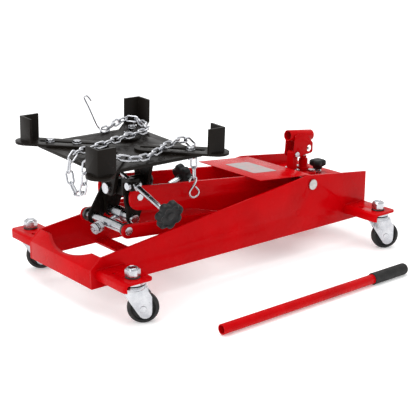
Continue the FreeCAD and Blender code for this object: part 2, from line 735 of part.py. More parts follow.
def side_swivel_bolts():
    """The swivel's front and rear bolt heads on their dark washers."""
    bolts = []
    for start in (side_x - d.swivel_half - 7, side_x + d.swivel_half):
        at = (start, -d.side_swivel_out, d.side_swivel_height - 5)
        bolts.append(rod(at, "X", 7, d.swivel_bolt_radius))
    return group(*bolts)


def side_screw():
    length = d.side_screw_inner + d.side_screw_outer
    return fuse(rod(on_side_screw(-d.side_screw_inner), side_turn, length, d.screw_radius),
                rod(on_side_screw(17), side_turn, 6, d.screw_radius + 3))


def side_knob():
    start = on_side_screw(d.side_screw_outer - 28)
    bore = rod(on_side_screw(d.side_screw_outer - 60), side_turn, 60, d.screw_radius + d.running_gap)
    return cut(star_knob(start, side_turn), bore)


part(side_swivel(), "side_swivel")
part(side_swivel_bolts(), "side_swivel_bolts")
part(side_screw(), "side_screw")
part(side_knob(), "side_knob")


# ---- saddle --------------------------------------------------------------------------------
# The saddle is built level and then rolled with its plate about the roll shaft.

def roll_saddle(item):
    angle = "Dims.saddle_roll * 1deg"
    item.Placement = Placement(Vector(), Rotation(X, DIMENSIONS["saddle_roll"]))
    item.setExpression("Placement.Rotation.Angle", angle)
    item.setExpression("Placement.Base.y", f"Dims.roll_height * sin({angle})")
    item.setExpression("Placement.Base.z", f"Dims.roll_height * (1 - cos({angle}))")
    return item


saddle_x = from_front(d.saddle_from_front)
plate_low = d.saddle_top - d.saddle_thick
CORNERS = {"front_left": (-1, -1), "front_right": (-1, 1), "rear_left": (1, -1), "rear_right": (1, 1)}
TIP_RADIUS = {"front_left": 281, "front_right": 264, "rear_left": 272, "rear_right": 292}
diagonal = math.sqrt(0.5)


def outward(signs, distance):
    """A point at a distance from the saddle's centre towards one corner."""
    return saddle_x + distance * diagonal * signs[0], distance * diagonal * signs[1]


def corner_turn(signs):
    return Rotation(Z, math.degrees(math.atan2(signs[1], signs[0])))


def saddle_plate():
    half = d.saddle_half
    outline = [(saddle_x - half, -half), (saddle_x + half, -half), (saddle_x + half, half),
               (saddle_x - half, half)]
    holes = [(outward(signs, radius), d.bolt_radius + d.running_gap)
             for signs in CORNERS.values() for radius in (d.bolt_inner, d.bolt_outer)]
    return plate("Saddle", "XY_Plane", outline, plate_low, d.saddle_thick,
                 [(index, d.saddle_round) for index in range(4)], holes)


def saddle_lugs():
    """The two lugs under the plate that hold the roll shaft, and the lug the side screw draws."""
    lugs = []
    for start in (bearing_front - d.lug_thick - 1, bearing_front + d.bearing_length + 1):
        lug = plate("SaddleLug", "YZ_Plane",
                    [(-d.bearing_radius - 2, d.roll_height - 18), (d.bearing_radius + 2, d.roll_height - 18),
                     (d.saddle_half / 3, plate_low), (-d.saddle_half / 3, plate_low)],
                    start, d.lug_thick, [(0, 16), (1, 16)],
                    [((0, d.roll_height), d.roll_radius + d.running_gap)])
        lugs.append(lug)
    nut = cut(box((side_x - 8, -6, plate_low - 48), (side_x + 16, d.saddle_thick * 3, plate_low)),
              rod(on_side_screw(-40), Rotation(X, -90 + DIMENSIONS["side_slope"]), 90, d.screw_radius + 6.2))
    return group(*lugs, nut)


def roll_shaft():
    """The shaft that the saddle rolls on: round head in front, spacer and washer behind."""
    start = bearing_front - d.lug_thick - 1
    length = d.bearing_length + d.lug_thick * 2 + 2
    at = (start - 8, 0, d.roll_height)
    behind = start + length
    return fuse(rod(at, "X", length + 26, d.roll_radius), rod(at, "X", 8, d.roll_head),
                rod((behind, 0, d.roll_height), "X", d.roll_spacer, 12))


def roll_washer():
    behind = bearing_front + d.bearing_length + d.lug_thick + 1 + d.roll_spacer
    at = (behind, 0, d.roll_height)
    return cut(rod(at, "X", d.roll_washer_thick, d.roll_washer),
               rod(at, "X", d.roll_washer_thick * 2, d.roll_radius + d.running_gap))


def saddle_bolts():
    heads = []
    for signs in CORNERS.values():
        for radius in (d.bolt_inner, d.bolt_outer):
            at = outward(signs, radius)
            shank_low = plate_low - 8
            bar_top = d.saddle_top + d.bar_thick + d.bar_rest
            shank = rod((*at, shank_low), "Z", bar_top - shank_low, d.bolt_radius)
            head = hexagon((*at, bar_top), "Z", d.bolt_head_high, d.bolt_nut)
            nut = hexagon((*at, plate_low - 10), "Z", d.bolt_nut_high, d.bolt_nut)
            heads.append(fuse(shank, head, nut))
    return group(*heads)


def saddle_arm(name):
    """A slotted bar on the plate's diagonal with an upright angle near its tip."""
    signs = CORNERS[name]
    tip = TIP_RADIUS[name]
    half = d.bar_width / 2
    level = d.saddle_top + d.bar_rest
    turn = corner_turn(signs)
    side = turn.multVec(Y)
    ends = [outward(signs, distance) for distance in (-half + tip, half + tip - d.bar_length)]
    flat = doc.addObject("Part::Box", "Flat")
    bind(flat, {"Length": d.bar_length - d.bar_width, "Width": d.bar_width, "Height": d.bar_thick})
    place(flat, (ends[1][0] - half * side.x, ends[1][1] - half * side.y, level), turn)
    rounds = [rod((*end, level), "Z", d.bar_thick, half) for end in ends]
    slot_half = d.slot_width / 2
    slot_inner = -d.bar_length + d.slot_inner_end + slot_half + tip
    slot_ends = [outward(signs, distance) for distance in (-d.slot_tip - slot_half + tip, slot_inner)]
    slot_box = doc.addObject("Part::Box", "Slot")
    slot_length = d.bar_length - d.slot_tip - d.slot_inner_end - d.slot_width
    bind(slot_box, {"Length": slot_length, "Width": d.slot_width, "Height": 30})
    place(slot_box, (slot_ends[1][0] - slot_half * side.x, slot_ends[1][1] - slot_half * side.y,
                     level - 10), turn)
    slot = [slot_box] + [rod((*end, level - 10), "Z", 30, slot_half) for end in slot_ends]
    vertex = outward(signs, -d.angle_inset + tip)
    base = level + d.bar_thick
    walls = []
    for along in (0, 1):
        reach = [d.angle_thick, d.angle_thick]
        reach[along] = d.angle_leg
        low = [vertex[axis] if signs[axis] < 0 else vertex[axis] - reach[axis] for axis in (0, 1)]
        high = [low[axis] + reach[axis] for axis in (0, 1)]
        walls.append(box((*low, base), (*high, base + d.angle_height)))
    return fuse(cut(fuse(flat, *rounds), fuse(*slot)), fuse(*walls))


part(roll_saddle(group(saddle_plate())), "saddle_plate")
part(roll_saddle(saddle_lugs()), "saddle_lugs")
part(roll_saddle(roll_shaft()), "roll_shaft")
part(roll_saddle(roll_washer()), "roll_washer")
part(roll_saddle(saddle_bolts()), "saddle_bolts")
for name in CORNERS:
    part(roll_saddle(saddle_arm(name)), f"saddle_arm_{name}")


# ---- casters -------------------------------------------------------------------------------

def caster(middle, sign, label):
    """A swivel fork with its axle, and the wheel that turns between its plates."""
    heading = Rotation(Z, -DIMENSIONS["caster_heading"])
    trail = heading.multVec(X) * DIMENSIONS["caster_trail"]
    stem_at = (middle, d.stem_out * sign)
    hub = (stem_at[0] + trail.x, stem_at[1] + trail.y, d.wheel_radius)
    crown_top = d.bracket_top - d.plate_thick - d.race_thick - d.seal_thick - 0.5
    half = d.wheel_width / 2 + d.fork_gap
    crown = fuse(rod((*stem_at, crown_top - 8), "Z", 8, d.crown_radius),
                 cone((*stem_at, crown_top - 13), "Z", 5, d.crown_radius - 3, d.crown_radius))
    sides = []
    for start in (-half - d.fork_wall, half):
        body = plate("ForkSide", "XZ_Plane",
                     [(d.caster_trail - 13, -13), (d.caster_trail + 13, -13),
                      (d.stem_radius + 9, crown_top - d.wheel_radius),
                      (-d.stem_radius - 9, crown_top - d.wheel_radius),
                      (-d.stem_radius - 9, crown_top - d.wheel_radius - 10)],
                     start, d.fork_wall, [(0, 12.5), (1, 12.5)])
        sides.append(body)
    roof = doc.addObject("Part::Box", "Roof")
    bind(roof, {"Length": d.stem_radius * 2 + 18, "Width": half * 2 + d.fork_wall * 2, "Height": 3})
    place(roof, (-d.stem_radius - 9, -half - d.fork_wall, crown_top - d.wheel_radius - 3))
    axle = rod((d.caster_trail, -half - d.fork_wall - 3, 0), "Y",
               half * 2 + d.fork_wall * 2 + 6, d.axle_radius)
    heads = [hexagon((d.caster_trail, start, 0), "Y", 5, d.axle_nut) for start in
             (-half - d.fork_wall - 5, half + d.fork_wall)]
    frame = fuse(*sides, roof, axle, *heads)
    place(frame, (*stem_at, d.wheel_radius), heading)
    bore = rod((*stem_at, 0), "Z", 120, d.stem_radius + 0.3)
    pocket = rod((*stem_at, crown_top - 17), "Z", 8.9, d.crown_radius - 3)
    part(cut(fuse(frame, crown), bore, pocket), f"caster_fork_{label}")
    part(wheel(hub, heading), f"caster_wheel_{label}")


def wheel(hub, heading):
    """A moulded wheel: tread, dished sides and a hub with a running bore."""
    half = d.wheel_width / 2
    rim = rod((0, -half, 0), "Y", half * 2, d.wheel_radius)
    hollows = [rod((0, start, 0), "Y", d.dish_depth, d.wheel_radius - d.tread_depth)
               for start in (-half, half - d.dish_depth)]
    boss = rod((0, -half, 0), "Y", half * 2, d.hub_radius)
    bore = rod((0, -half - 1, 0), "Y", half * 2 + 2, d.axle_radius + d.running_gap)
    dished = cut(rim, *hollows)
    shape = cut(fuse(dished, boss), bore)
    return place(shape, hub, heading)


for middle, end in stems:
    for side, sign in (("left", -1), ("right", 1)):
        caster(middle, sign, f"{end}_{side}")


# ---- pump lever, plunger and release knob --------------------------------------------------

socket_turn = Rotation(Y, 90 + DIMENSIONS["socket_fall"])
socket_axis = socket_turn.multVec(Z)
socket_start = (from_front(d.socket_from_front), 0, d.socket_height)


def on_socket(distance):
    return moved(socket_start, socket_axis, distance)


def pump_lever():
    """The handle's socket, welded into a folded sheet whose ears reach down to the pins.

    The plunger's pin rides in a round window in each ear, wide enough for the lever's swing.
    """
    tube = rod(on_socket(0), socket_turn, d.socket_length, d.socket_radius)
    ear_inner = d.socket_radius + 1
    ears = []
    for sign in (-1, 1):
        start, thickness = span(sign, ear_inner, ear_inner + d.ear_thick)
        outline = [(fulcrum[0] - 10, fulcrum[1] - 11), (plunger_pin[0] + 18, plunger_pin[1] - 14),
                   (plunger_pin[0] + 18, plunger_pin[1] + 14), (plunger_pin[0] - 6, d.socket_height),
                   (fulcrum[0] - 6, d.socket_height + 3), (fulcrum[0] - 10, fulcrum[1] + 8)]
        window = (plunger_pin[0] + 4, plunger_pin[1])
        ears.append(plate("Ear", "XZ_Plane", outline, start, thickness, [(0, 9), (1, 8)],
                          [(fulcrum, d.fulcrum_radius + d.running_gap), (window, d.ear_window)]))
    half = ear_inner + d.ear_thick
    saddle = box((fulcrum[0] - 4, -half, d.socket_height - 12), (plunger_pin[0] - 6, half, d.socket_height - 4))
    return cut(fuse(tube, *ears, saddle), rod(on_socket(-5), socket_turn, 120, d.socket_bore))


def pump_plunger():
    at = (from_front(d.plunger_from_front), 0)
    low = d.block_top - 2
    stem = rod((*at, low), "Z", plunger_pin[1] - low + 6, d.plunger_radius)
    pin = rod((at[0], -d.socket_radius - 6, plunger_pin[1]), "Y", (d.socket_radius + 6) * 2, 4)
    return fuse(stem, pin)


release_at = (from_front(d.release_from_front), 0)


def release_knob():
    low = d.deck_top + 10
    pieces = [cone((*release_at, low), "Z", 28, d.release_radius * 0.55, d.release_radius * 0.7)]
    for number in range(4):
        angle = math.radians(45 + 90 * number)
        at = (release_at[0] + d.release_lobe_out * math.cos(angle),
              release_at[1] + d.release_lobe_out * math.sin(angle))
        pieces.append(rod((*at, low + 12), "Z", 16, d.release_radius - d.release_lobe_out))
    return cut(fuse(*pieces), rod((*release_at, low - 1), "Z", 22, d.fulcrum_radius + d.running_gap))


def release_valve():
    """The valve's collar in the deck and its stem, which the knob is pressed on."""
    low = d.deck_top - 30
    return fuse(rod((*release_at, low), "Z", 36, d.valve_hole - 0.1),
                rod((*release_at, low), "Z", 58, d.fulcrum_radius),
                hexagon((*release_at, d.deck_top), "Z", 6, d.release_nut))


part(pump_lever(), "pump_lever")
part(pump_plunger(), "pump_plunger")
part(release_valve(), "release_valve")
part(release_knob(), "release_knob")


# ---- handle --------------------------------------------------------------------------------

handle_at = (from_front(d.handle_from_front), -d.handle_out, d.grip_radius)


def handle_tube():
    tube = rod(handle_at, "X", d.handle_length - 8, d.handle_radius)
    return cut(tube, rod((handle_at[0] - 1, handle_at[1], handle_at[2]), "X",
                         d.handle_length + 2, d.handle_radius - d.handle_wall))


def handle_grip():
    start = handle_at[0] + d.handle_length - d.grip_length
    at = (start, handle_at[1], handle_at[2])
    sleeve = fuse(rod(at, "X", d.grip_length - 6, d.grip_radius),
                  cone((start + d.grip_length - 6, at[1], at[2]), "X", 6, d.grip_radius, d.grip_radius - 4))
    return cut(sleeve, rod((start - 1, at[1], at[2]), "X", d.grip_length - 7 + 0.1, d.handle_radius + 0.02))


part(handle_tube(), "handle_tube")
part(handle_grip(), "handle_grip")


# ---- load chain ----------------------------------------------------------------------------
# The chain's own route, seen from the saddle's level position: across the plate from its
# far edge, down in front of the plate in a slack loop, back across it and over its left edge.

CHAIN_ROUTE = [
    (232, 140, 364), (258, 148, 366), (288, 163, 373), (320, 168, 375), (338, 155, 374),
    (333, 124, 375), (325, 88, 373), (309, 60, 372), (284, 43, 372), (250, 34, 372),
    (217, 27, 372), (189, 18, 372), (160, 9, 372), (130, 3, 370), (100, -1, 367),
    (66, -9, 368), (36, -25, 370), (21, -33, 360), (18, -29, 340), (18, -33, 318),
    (18, -41, 299), (18, -57, 287), (18, -75, 286), (18, -89, 295), (18, -95, 314),
    (18, -98, 335), (18, -99, 357), (22, -100, 373), (44, -108, 377), (76, -116, 378),
    (104, -126, 373), (128, -134, 368), (151, -137, 367), (184, -128, 367), (215, -115, 369),
    (245, -101, 374), (278, -92, 375), (303, -84, 377), (326, -82, 374), (340, -87, 364),
    (345, -91, 344), (345, -93, 317), (346, -94, 288),
]


def rounded_path(points):
    """Straight runs joined by tangent arcs as large as the runs beside them allow."""
    edges = []
    last = points[0]
    for before, corner, after in zip(points, points[1:], points[2:]):
        into = (corner - before).normalize()
        out = (after - corner).normalize()
        half_turn = into.getAngle(out) / 2
        reach = 0.45 * min((corner - before).Length, (after - corner).Length)
        radius = reach / math.tan(half_turn)
        start = corner - into * reach
        end = corner + out * reach
        inward = (out - into).normalize()
        middle = corner + inward * (radius / math.cos(half_turn) - radius)
        edges.append(Part.LineSegment(last, start).toShape())
        edges.append(Part.Arc(start, middle, end).toShape())
        last = end
    edges.append(Part.LineSegment(last, points[-1]).toShape())
    return Part.Wire(edges)


def tube_along(points, radius):
    """A solid round tube whose middle line is the rounded path through the points."""
    path = rounded_path(points)
    start = path.Edges[0].Vertexes[0].Point
    direction = (points[1] - points[0]).normalize()
    section = Part.Wire(Part.Circle(start, direction, radius).toShape())
    return path.makePipeShell([section], True, False), path.Length


def feature(shape, label):
    item = doc.addObject("Part::Feature", "Wire")
    item.Shape = shape
    return part(roll_saddle(item), label)


def at_saddle(point):
    return Vector(point[0] - DIMENSIONS["frame_length"] / 2, point[1], point[2])


def load_chain():
    tube, length = tube_along([at_saddle(point) for point in CHAIN_ROUTE], DIMENSIONS["chain_radius"])
    print(f"chain length {length:.0f} mm")
    return tube


def long_hook():
    """The long wire hook that stands on the plate at the chain's first link."""
    route = [(246, 152, 358.2), (232, 155, 360), (220, 156, 368), (198, 158, 419), (185, 159, 444),
             (181, 159, 452), (186, 159, 456), (194, 159, 453), (203, 159, 440)]
    return tube_along([at_saddle(point) for point in route], DIMENSIONS["hook_wire"] / 2)[0]


def s_hook():
    """The S-shaped hook on the chain's last link."""
    route = [(331, -95, 266), (332, -95, 274), (343, -95, 278), (353, -95, 274), (353, -95, 263),
             (342, -95, 250), (331, -95, 238), (335, -95, 226), (350, -95, 220), (364, -95, 229),
             (361, -95, 241), (351, -95, 249)]
    return tube_along([at_saddle(point) for point in route], DIMENSIONS["s_hook_wire"] / 2)[0]


feature(load_chain(), "load_chain")
feature(long_hook(), "chain_long_hook")
feature(s_hook(), "chain_s_hook")

doc.recompute()
os.makedirs("parts", exist_ok=True)
for item in doc.Objects:
    if "Invalid" in item.State or "Error" in item.State:
        raise RuntimeError(f"{item.Label} ({item.TypeId}) failed: {item.State}")
for item in parts:
    if item.Shape.isNull() or not item.Shape.isValid():
        raise RuntimeError(f"{item.Label} has a faulty shape")
for item in parts:
    item.Shape.exportStep(f"parts/{item.Label}.step")
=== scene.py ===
import json
import math

import bmesh
import bpy
from mathutils import Matrix, Vector


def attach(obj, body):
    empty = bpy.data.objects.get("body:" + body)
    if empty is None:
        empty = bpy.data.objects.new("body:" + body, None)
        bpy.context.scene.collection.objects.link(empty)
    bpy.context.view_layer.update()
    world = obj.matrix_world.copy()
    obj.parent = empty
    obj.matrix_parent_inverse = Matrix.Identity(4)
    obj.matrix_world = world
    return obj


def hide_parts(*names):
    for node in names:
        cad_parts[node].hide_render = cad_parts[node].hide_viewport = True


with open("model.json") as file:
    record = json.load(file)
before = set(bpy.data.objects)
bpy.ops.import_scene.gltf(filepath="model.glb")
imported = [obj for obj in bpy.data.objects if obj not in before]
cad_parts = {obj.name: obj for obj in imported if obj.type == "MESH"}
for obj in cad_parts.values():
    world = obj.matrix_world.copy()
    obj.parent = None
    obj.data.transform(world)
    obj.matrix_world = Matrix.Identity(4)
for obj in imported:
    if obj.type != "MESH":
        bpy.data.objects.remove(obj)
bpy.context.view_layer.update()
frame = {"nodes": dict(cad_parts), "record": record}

MM = 0.001
TAU = math.tau

# ---- sizes that the frame doesn't name, in millimetres ------------------------------------

HALF_FRAME = 468.5
SADDLE_ROLL = math.radians(2.75)
ROLL_HEIGHT = 258
SADDLE_FROM_FRONT = 184
SCREW_SLOPE = math.radians(17)
SIDE_SLOPE = math.radians(17.5)
SCREW_RADIUS = 6.0
SCREW_PITCH = 2.5
THREAD_DEPTH = 0.9
KNOB_RADIUS = 37.0
KNOB_DEPTH = 26.0
CHAIN_WIRE = 5.4
CHAIN_PITCH = 26.5
CHAIN_WIDTH = 20.5
CASTER_HEADING = math.radians(-32.7)
CASTER_TRAIL = 22.6
STEMS = [(x, side, end, name) for x, end in ((55, "front"), (892, "rear"))
         for side, name in ((-234, "left"), (234, "right"))]
WHEEL_RADIUS = 38.0
WHEEL_HALF = 11.5
BOLT_CIRCLES = (108, 176)
BRACKET_TOP = 112
UPPER_PIN = (194, 241.5)
LOWER_PIN = (142, 170)
MAIN_PIVOT = (721, 196)
LOWER_PIVOT = (669, 124.5)
TRUNNION = (185, 183)
PUMP_FROM_FRONT = 825
VALVE_FROM_FRONT = 885
HANDLE_SIDE = -423
HANDLE_HEIGHT = 15.5
RAIL_FACE = 143.2
RAIL_INSIDE = 136.8
FLOOR_HALF = 30
SPLINE_ORDER = 3
LARGEST_CHANGE = 0.12
SHARP = 32
ROUND_EDGE = 0.7
REPLACED = set()

BODIES = frame["record"]["behaviour"]["bodies"]
BODY_OF = {node: body for body, nodes in BODIES.items() for node in nodes}
SLOT_OF = {entry["node"]: entry["material_slot"] for entry in frame["record"]["subparts"]}


def from_front(x, y, z):
    """A point measured back from the front of the rails, in millimetres, as metres in the frame."""
    return Vector(((x - HALF_FRAME) * MM, y * MM, z * MM))


def on_saddle(x, y, z):
    """A point given in the saddle's level position, rolled with the saddle."""
    up = z - ROLL_HEIGHT
    return from_front(x, y * math.cos(SADDLE_ROLL) - up * math.sin(SADDLE_ROLL),
                      y * math.sin(SADDLE_ROLL) + up * math.cos(SADDLE_ROLL) + ROLL_HEIGHT)


X, Y, Z = Vector((1, 0, 0)), Vector((0, 1, 0)), Vector((0, 0, 1))
TILT_START, TILT_AXIS = (142, 0, 170), Vector((math.cos(SCREW_SLOPE), 0, math.sin(SCREW_SLOPE)))
SIDE_START, SIDE_AXIS = (166, -84, 284), Vector((0, -math.cos(SIDE_SLOPE), -math.sin(SIDE_SLOPE)))
SADDLE_UP = Vector((0, -math.sin(SADDLE_ROLL), math.cos(SADDLE_ROLL)))


def along(start, axis, distance):
    """The point a distance in millimetres along an axis from a start measured from the front."""
    return from_front(*start) + axis * (distance * MM)


def standing(at, axis):
    """The placement that stands a piece made along +Z at a point, with its +Z along an axis."""
    return Matrix.Translation(at) @ axis.to_track_quat("Z", "Y").to_matrix().to_4x4()


# ---- node trees ---------------------------------------------------------------------------

class Nodes:
    """A node tree under construction. Inputs are given as values or as other nodes' sockets."""

    def __init__(self, tree):
        self.tree = tree

    def put(self, socket, value):
        if isinstance(value, bpy.types.NodeSocket):
            self.tree.links.new(value, socket)
        else:
            socket.default_value = value

    def add(self, kind, settings=(), **inputs):
        node = self.tree.nodes.new(kind)
        for name, value in dict(settings).items():
            setattr(node, name, value)
        for name, value in inputs.items():
            self.put(node.inputs[name.replace("_", " ")], value)
        return node

    def math(self, operation, *values):
        node = self.add("ShaderNodeMath", {"operation": operation})
        for socket, value in zip(node.inputs, values):
            self.put(socket, value)
        return node.outputs["Value"]


class Finish(Nodes):
    """A material under construction, on the piece's own coordinates."""

    def __init__(self, name):
        self.material = bpy.data.materials.new(name)
        self.material.use_nodes = True
        super().__init__(self.material.node_tree)
        self.shader = self.tree.nodes["Principled BSDF"]
        self.place = self.add("ShaderNodeTexCoord").outputs["Object"]
        self.height = None

    def set(self, **inputs):
        for name, value in inputs.items():
            self.put(self.shader.inputs[name.replace("_", " ")], value)

    def noise(self, scale, detail=2.0, roughness=0.5, stretch=None):
        place = self.place
        if stretch:
            place = self.add("ShaderNodeMapping", Vector=place, Scale=stretch).outputs["Vector"]
        return self.add("ShaderNodeTexNoise", Vector=place, Scale=scale, Detail=detail,
                        Roughness=roughness).outputs["Fac"]

    def ranged(self, value, low, high, to_low=0.0, to_high=1.0):
        return self.add("ShaderNodeMapRange", Value=value, From_Min=low, From_Max=high,
                        To_Min=to_low, To_Max=to_high).outputs["Result"]

    def mixed(self, factor, first, second):
        node = self.add("ShaderNodeMix", {"data_type": "RGBA"}, Factor=factor)
        for socket, colour in ((node.inputs[6], first), (node.inputs[7], second)):
            self.put(socket, (*colour, 1.0) if isinstance(colour, tuple) else colour)
        return node.outputs[2]

    def bump(self, height, strength, distance):
        node = self.add("ShaderNodeBump", Strength=strength, Distance=distance, Height=height)
        if self.height is not None:
            self.put(node.inputs["Normal"], self.height)
        self.height = node.outputs["Normal"]
        self.put(self.shader.inputs["Normal"], self.height)


class Tree(Nodes):
    """A geometry tree with named inputs for its sizes."""

    def __init__(self, name, *sizes):
        super().__init__(bpy.data.node_groups.new(name, "GeometryNodeTree"))
        self.socket("Geometry", "INPUT", "NodeSocketGeometry")
        for label in sizes:
            self.socket(label, "INPUT", "NodeSocketFloat")
        self.socket("Material", "INPUT", "NodeSocketMaterial")
        self.socket("Geometry", "OUTPUT", "NodeSocketGeometry")
        self.given = self.tree.nodes.new("NodeGroupInput").outputs

    def socket(self, label, way, kind):
        self.tree.interface.new_socket(label, in_out=way, socket_type=kind)

    def close(self, geometry):
        """Ends the tree: real geometry, with its material."""
        real = self.add("GeometryNodeRealizeInstances", Geometry=geometry).outputs["Geometry"]
        coated = self.add("GeometryNodeSetMaterial", Geometry=real, Material=self.given["Material"])
        self.put(self.tree.nodes.new("NodeGroupOutput").inputs["Geometry"], coated.outputs["Geometry"])
        return self

    def grow(self, base, material, **sizes):
        """The plain mesh that the tree makes from a base mesh."""
        item = bpy.data.objects.new("base", base)
        bpy.context.scene.collection.objects.link(item)
        modifier = item.modifiers.new("grow", "NODES")
        modifier.node_group = self.tree
        values = {**sizes, "Material": material}
        for socket in self.tree.interface.items_tree:
            if socket.in_out == "INPUT" and socket.name in values:
                modifier[socket.identifier] = values[socket.name]
        graph = bpy.context.evaluated_depsgraph_get()
        mesh = bpy.data.meshes.new_from_object(item.evaluated_get(graph), depsgraph=graph)
        bpy.data.objects.remove(item)
        return mesh


def chain_tree():
    """Welded links along a line, each turned a quarter against the last, with a little slack."""
    tree = Tree("chain_links", "Pitch", "Wire", "Width", "Slack", "Seed")
    wire, width = tree.given["Wire"], tree.given["Width"]
    inner = tree.math("SUBTRACT", width, wire)
    long = tree.math("ADD", tree.given["Pitch"], wire)
    outline = tree.add("GeometryNodeCurvePrimitiveQuadrilateral", Width=inner, Height=long)
    rounded = tree.add("GeometryNodeFilletCurve", {"mode": "POLY"}, Curve=outline.outputs["Curve"],
                       Count=6, Radius=tree.math("MULTIPLY", inner, 0.499), Limit_Radius=True)
    section = tree.add("GeometryNodeCurvePrimitiveCircle", Resolution=10,
                       Radius=tree.math("MULTIPLY", wire, 0.5))
    link = tree.add("GeometryNodeCurveToMesh", Curve=rounded.outputs["Curve"],
                    Profile_Curve=section.outputs["Curve"])
    upright = tree.add("GeometryNodeTransform", Geometry=link.outputs["Mesh"],
                       Rotation=(math.pi / 2, 0, 0))
    line = tree.add("GeometryNodeMeshToCurve", Mesh=tree.given["Geometry"])
    points = tree.add("GeometryNodeCurveToPoints", {"mode": "LENGTH"}, Curve=line.outputs["Curve"],
                      Length=tree.given["Pitch"])
    index = tree.add("GeometryNodeInputIndex").outputs["Index"]
    quarter = tree.math("MULTIPLY", tree.math("MODULO", index, 2.0), math.pi / 2)
    slack = tree.add("FunctionNodeRandomValue", {"data_type": "FLOAT"}, Seed=tree.given["Seed"])
    slack.inputs[2].default_value = -1.0
    slack.inputs[3].default_value = 1.0
    loose = tree.math("MULTIPLY", slack.outputs[1], tree.given["Slack"])
    angle = tree.math("ADD", tree.math("ADD", quarter, math.pi / 4), loose)
    twist = tree.add("FunctionNodeAxisAngleToRotation", Axis=(0, 0, 1), Angle=angle)
    turn = tree.add("FunctionNodeRotateRotation", {"rotation_space": "LOCAL"},
                    Rotation=points.outputs["Rotation"], Rotate_By=twist.outputs["Rotation"])
    links = tree.add("GeometryNodeInstanceOnPoints", Points=points.outputs["Points"],
                     Instance=upright.outputs["Geometry"], Rotation=turn.outputs["Rotation"])
    return tree.close(links.outputs["Instances"])


def thread_tree():
    """A rod along +Z whose surface is cut by a single-start thread."""
    tree = Tree("threaded_rod", "Length", "Radius", "Pitch", "Depth")
    length, radius, pitch = (tree.given[name] for name in ("Length", "Radius", "Pitch"))
    turns = tree.math("DIVIDE", length, pitch)
    blank = tree.add("GeometryNodeMeshCylinder", {"fill_type": "NGON"}, Vertices=20, Radius=radius,
                     Depth=length, Side_Segments=tree.math("MULTIPLY", turns, 5.0))
    place = tree.add("GeometryNodeInputPosition").outputs["Position"]
    x, y, z = tree.add("ShaderNodeSeparateXYZ", Vector=place).outputs
    phase = tree.math("ADD", tree.math("DIVIDE", z, pitch),
                      tree.math("DIVIDE", tree.math("ARCTAN2", y, x), TAU))
    groove = tree.math("MULTIPLY", tree.math("PINGPONG", phase, 0.5), 2.0)
    cut = tree.math("DIVIDE", tree.math("MULTIPLY", groove, tree.given["Depth"]), radius)
    scale = tree.math("SUBTRACT", 1.0, cut)
    up = tree.math("ADD", z, tree.math("MULTIPLY", length, 0.5))
    spot = tree.add("ShaderNodeCombineXYZ", X=tree.math("MULTIPLY", x, scale),
                    Y=tree.math("MULTIPLY", y, scale), Z=up)
    rod = tree.add("GeometryNodeSetPosition", Geometry=blank.outputs["Mesh"],
                   Position=spot.outputs["Vector"])
    return tree.close(rod.outputs["Geometry"])


def hex_tree():
    """Chamfered hexagons, one on each point, standing along the point's own axis."""
    tree = Tree("hex_heads", "Across", "Height")
    across, height = tree.given["Across"], tree.given["Height"]
    blank = tree.add("GeometryNodeMeshCylinder", {"fill_type": "NGON"}, Vertices=48, Radius=1.0,
                     Depth=1.0, Side_Segments=12)
    place = tree.add("GeometryNodeInputPosition").outputs["Position"]
    x, y, z = tree.add("ShaderNodeSeparateXYZ", Vector=place).outputs
    angle = tree.math("ARCTAN2", y, x)
    up = tree.math("MULTIPLY", tree.math("ADD", z, 0.5), height)
    half = tree.math("MULTIPLY", across, 0.5)
    flat = tree.math("DIVIDE", half, tree.math("COSINE", tree.math("PINGPONG", angle, math.pi / 6)))
    from_end = tree.math("MINIMUM", up, tree.math("SUBTRACT", height, up))
    chamfer = tree.math("ADD", tree.math("MULTIPLY", half, 0.96), tree.math("MULTIPLY", from_end, 1.7))
    radius = tree.math("MINIMUM", flat, chamfer)
    spot = tree.add("ShaderNodeCombineXYZ", X=tree.math("MULTIPLY", tree.math("COSINE", angle), radius),
                    Y=tree.math("MULTIPLY", tree.math("SINE", angle), radius), Z=up)
    head = tree.add("GeometryNodeSetPosition", Geometry=blank.outputs["Mesh"],
                    Position=spot.outputs["Vector"])
    axis = tree.add("GeometryNodeInputNamedAttribute", {"data_type": "FLOAT_VECTOR"}, Name="axis")
    turn = tree.add("FunctionNodeAlignRotationToVector", {"axis": "Z"}, Vector=axis.outputs["Attribute"])
    points = tree.add("GeometryNodeMeshToPoints", Mesh=tree.given["Geometry"])
    heads = tree.add("GeometryNodeInstanceOnPoints", Points=points.outputs["Points"],
                     Instance=head.outputs["Geometry"], Rotation=turn.outputs["Rotation"])
    return tree.close(heads.outputs["Instances"])


def bead_tree():
    """A weld bead: flattened drops that overlap along a line, each a little different in size."""
    tree = Tree("weld_bead", "Spacing", "Radius", "Seed")
    drop = tree.add("GeometryNodeMeshIcoSphere", Radius=tree.given["Radius"], Subdivisions=2)
    line = tree.add("GeometryNodeMeshToCurve", Mesh=tree.given["Geometry"])
    points = tree.add("GeometryNodeCurveToPoints", {"mode": "LENGTH"}, Curve=line.outputs["Curve"],
                      Length=tree.given["Spacing"])
    size = tree.add("FunctionNodeRandomValue", {"data_type": "FLOAT"}, Seed=tree.given["Seed"])
    size.inputs[2].default_value = 0.85
    size.inputs[3].default_value = 1.1
    shape = tree.add("ShaderNodeCombineXYZ", X=size.outputs[1], Y=size.outputs[1], Z=0.8)
    drops = tree.add("GeometryNodeInstanceOnPoints", Points=points.outputs["Points"],
                     Instance=drop.outputs["Mesh"], Rotation=points.outputs["Rotation"],
                     Scale=shape.outputs["Vector"])
    return tree.close(drops.outputs["Instances"])


CHAIN, THREAD, HEX, BEAD = chain_tree(), thread_tree(), hex_tree(), bead_tree()


# ---- materials ----------------------------------------------------------------------------

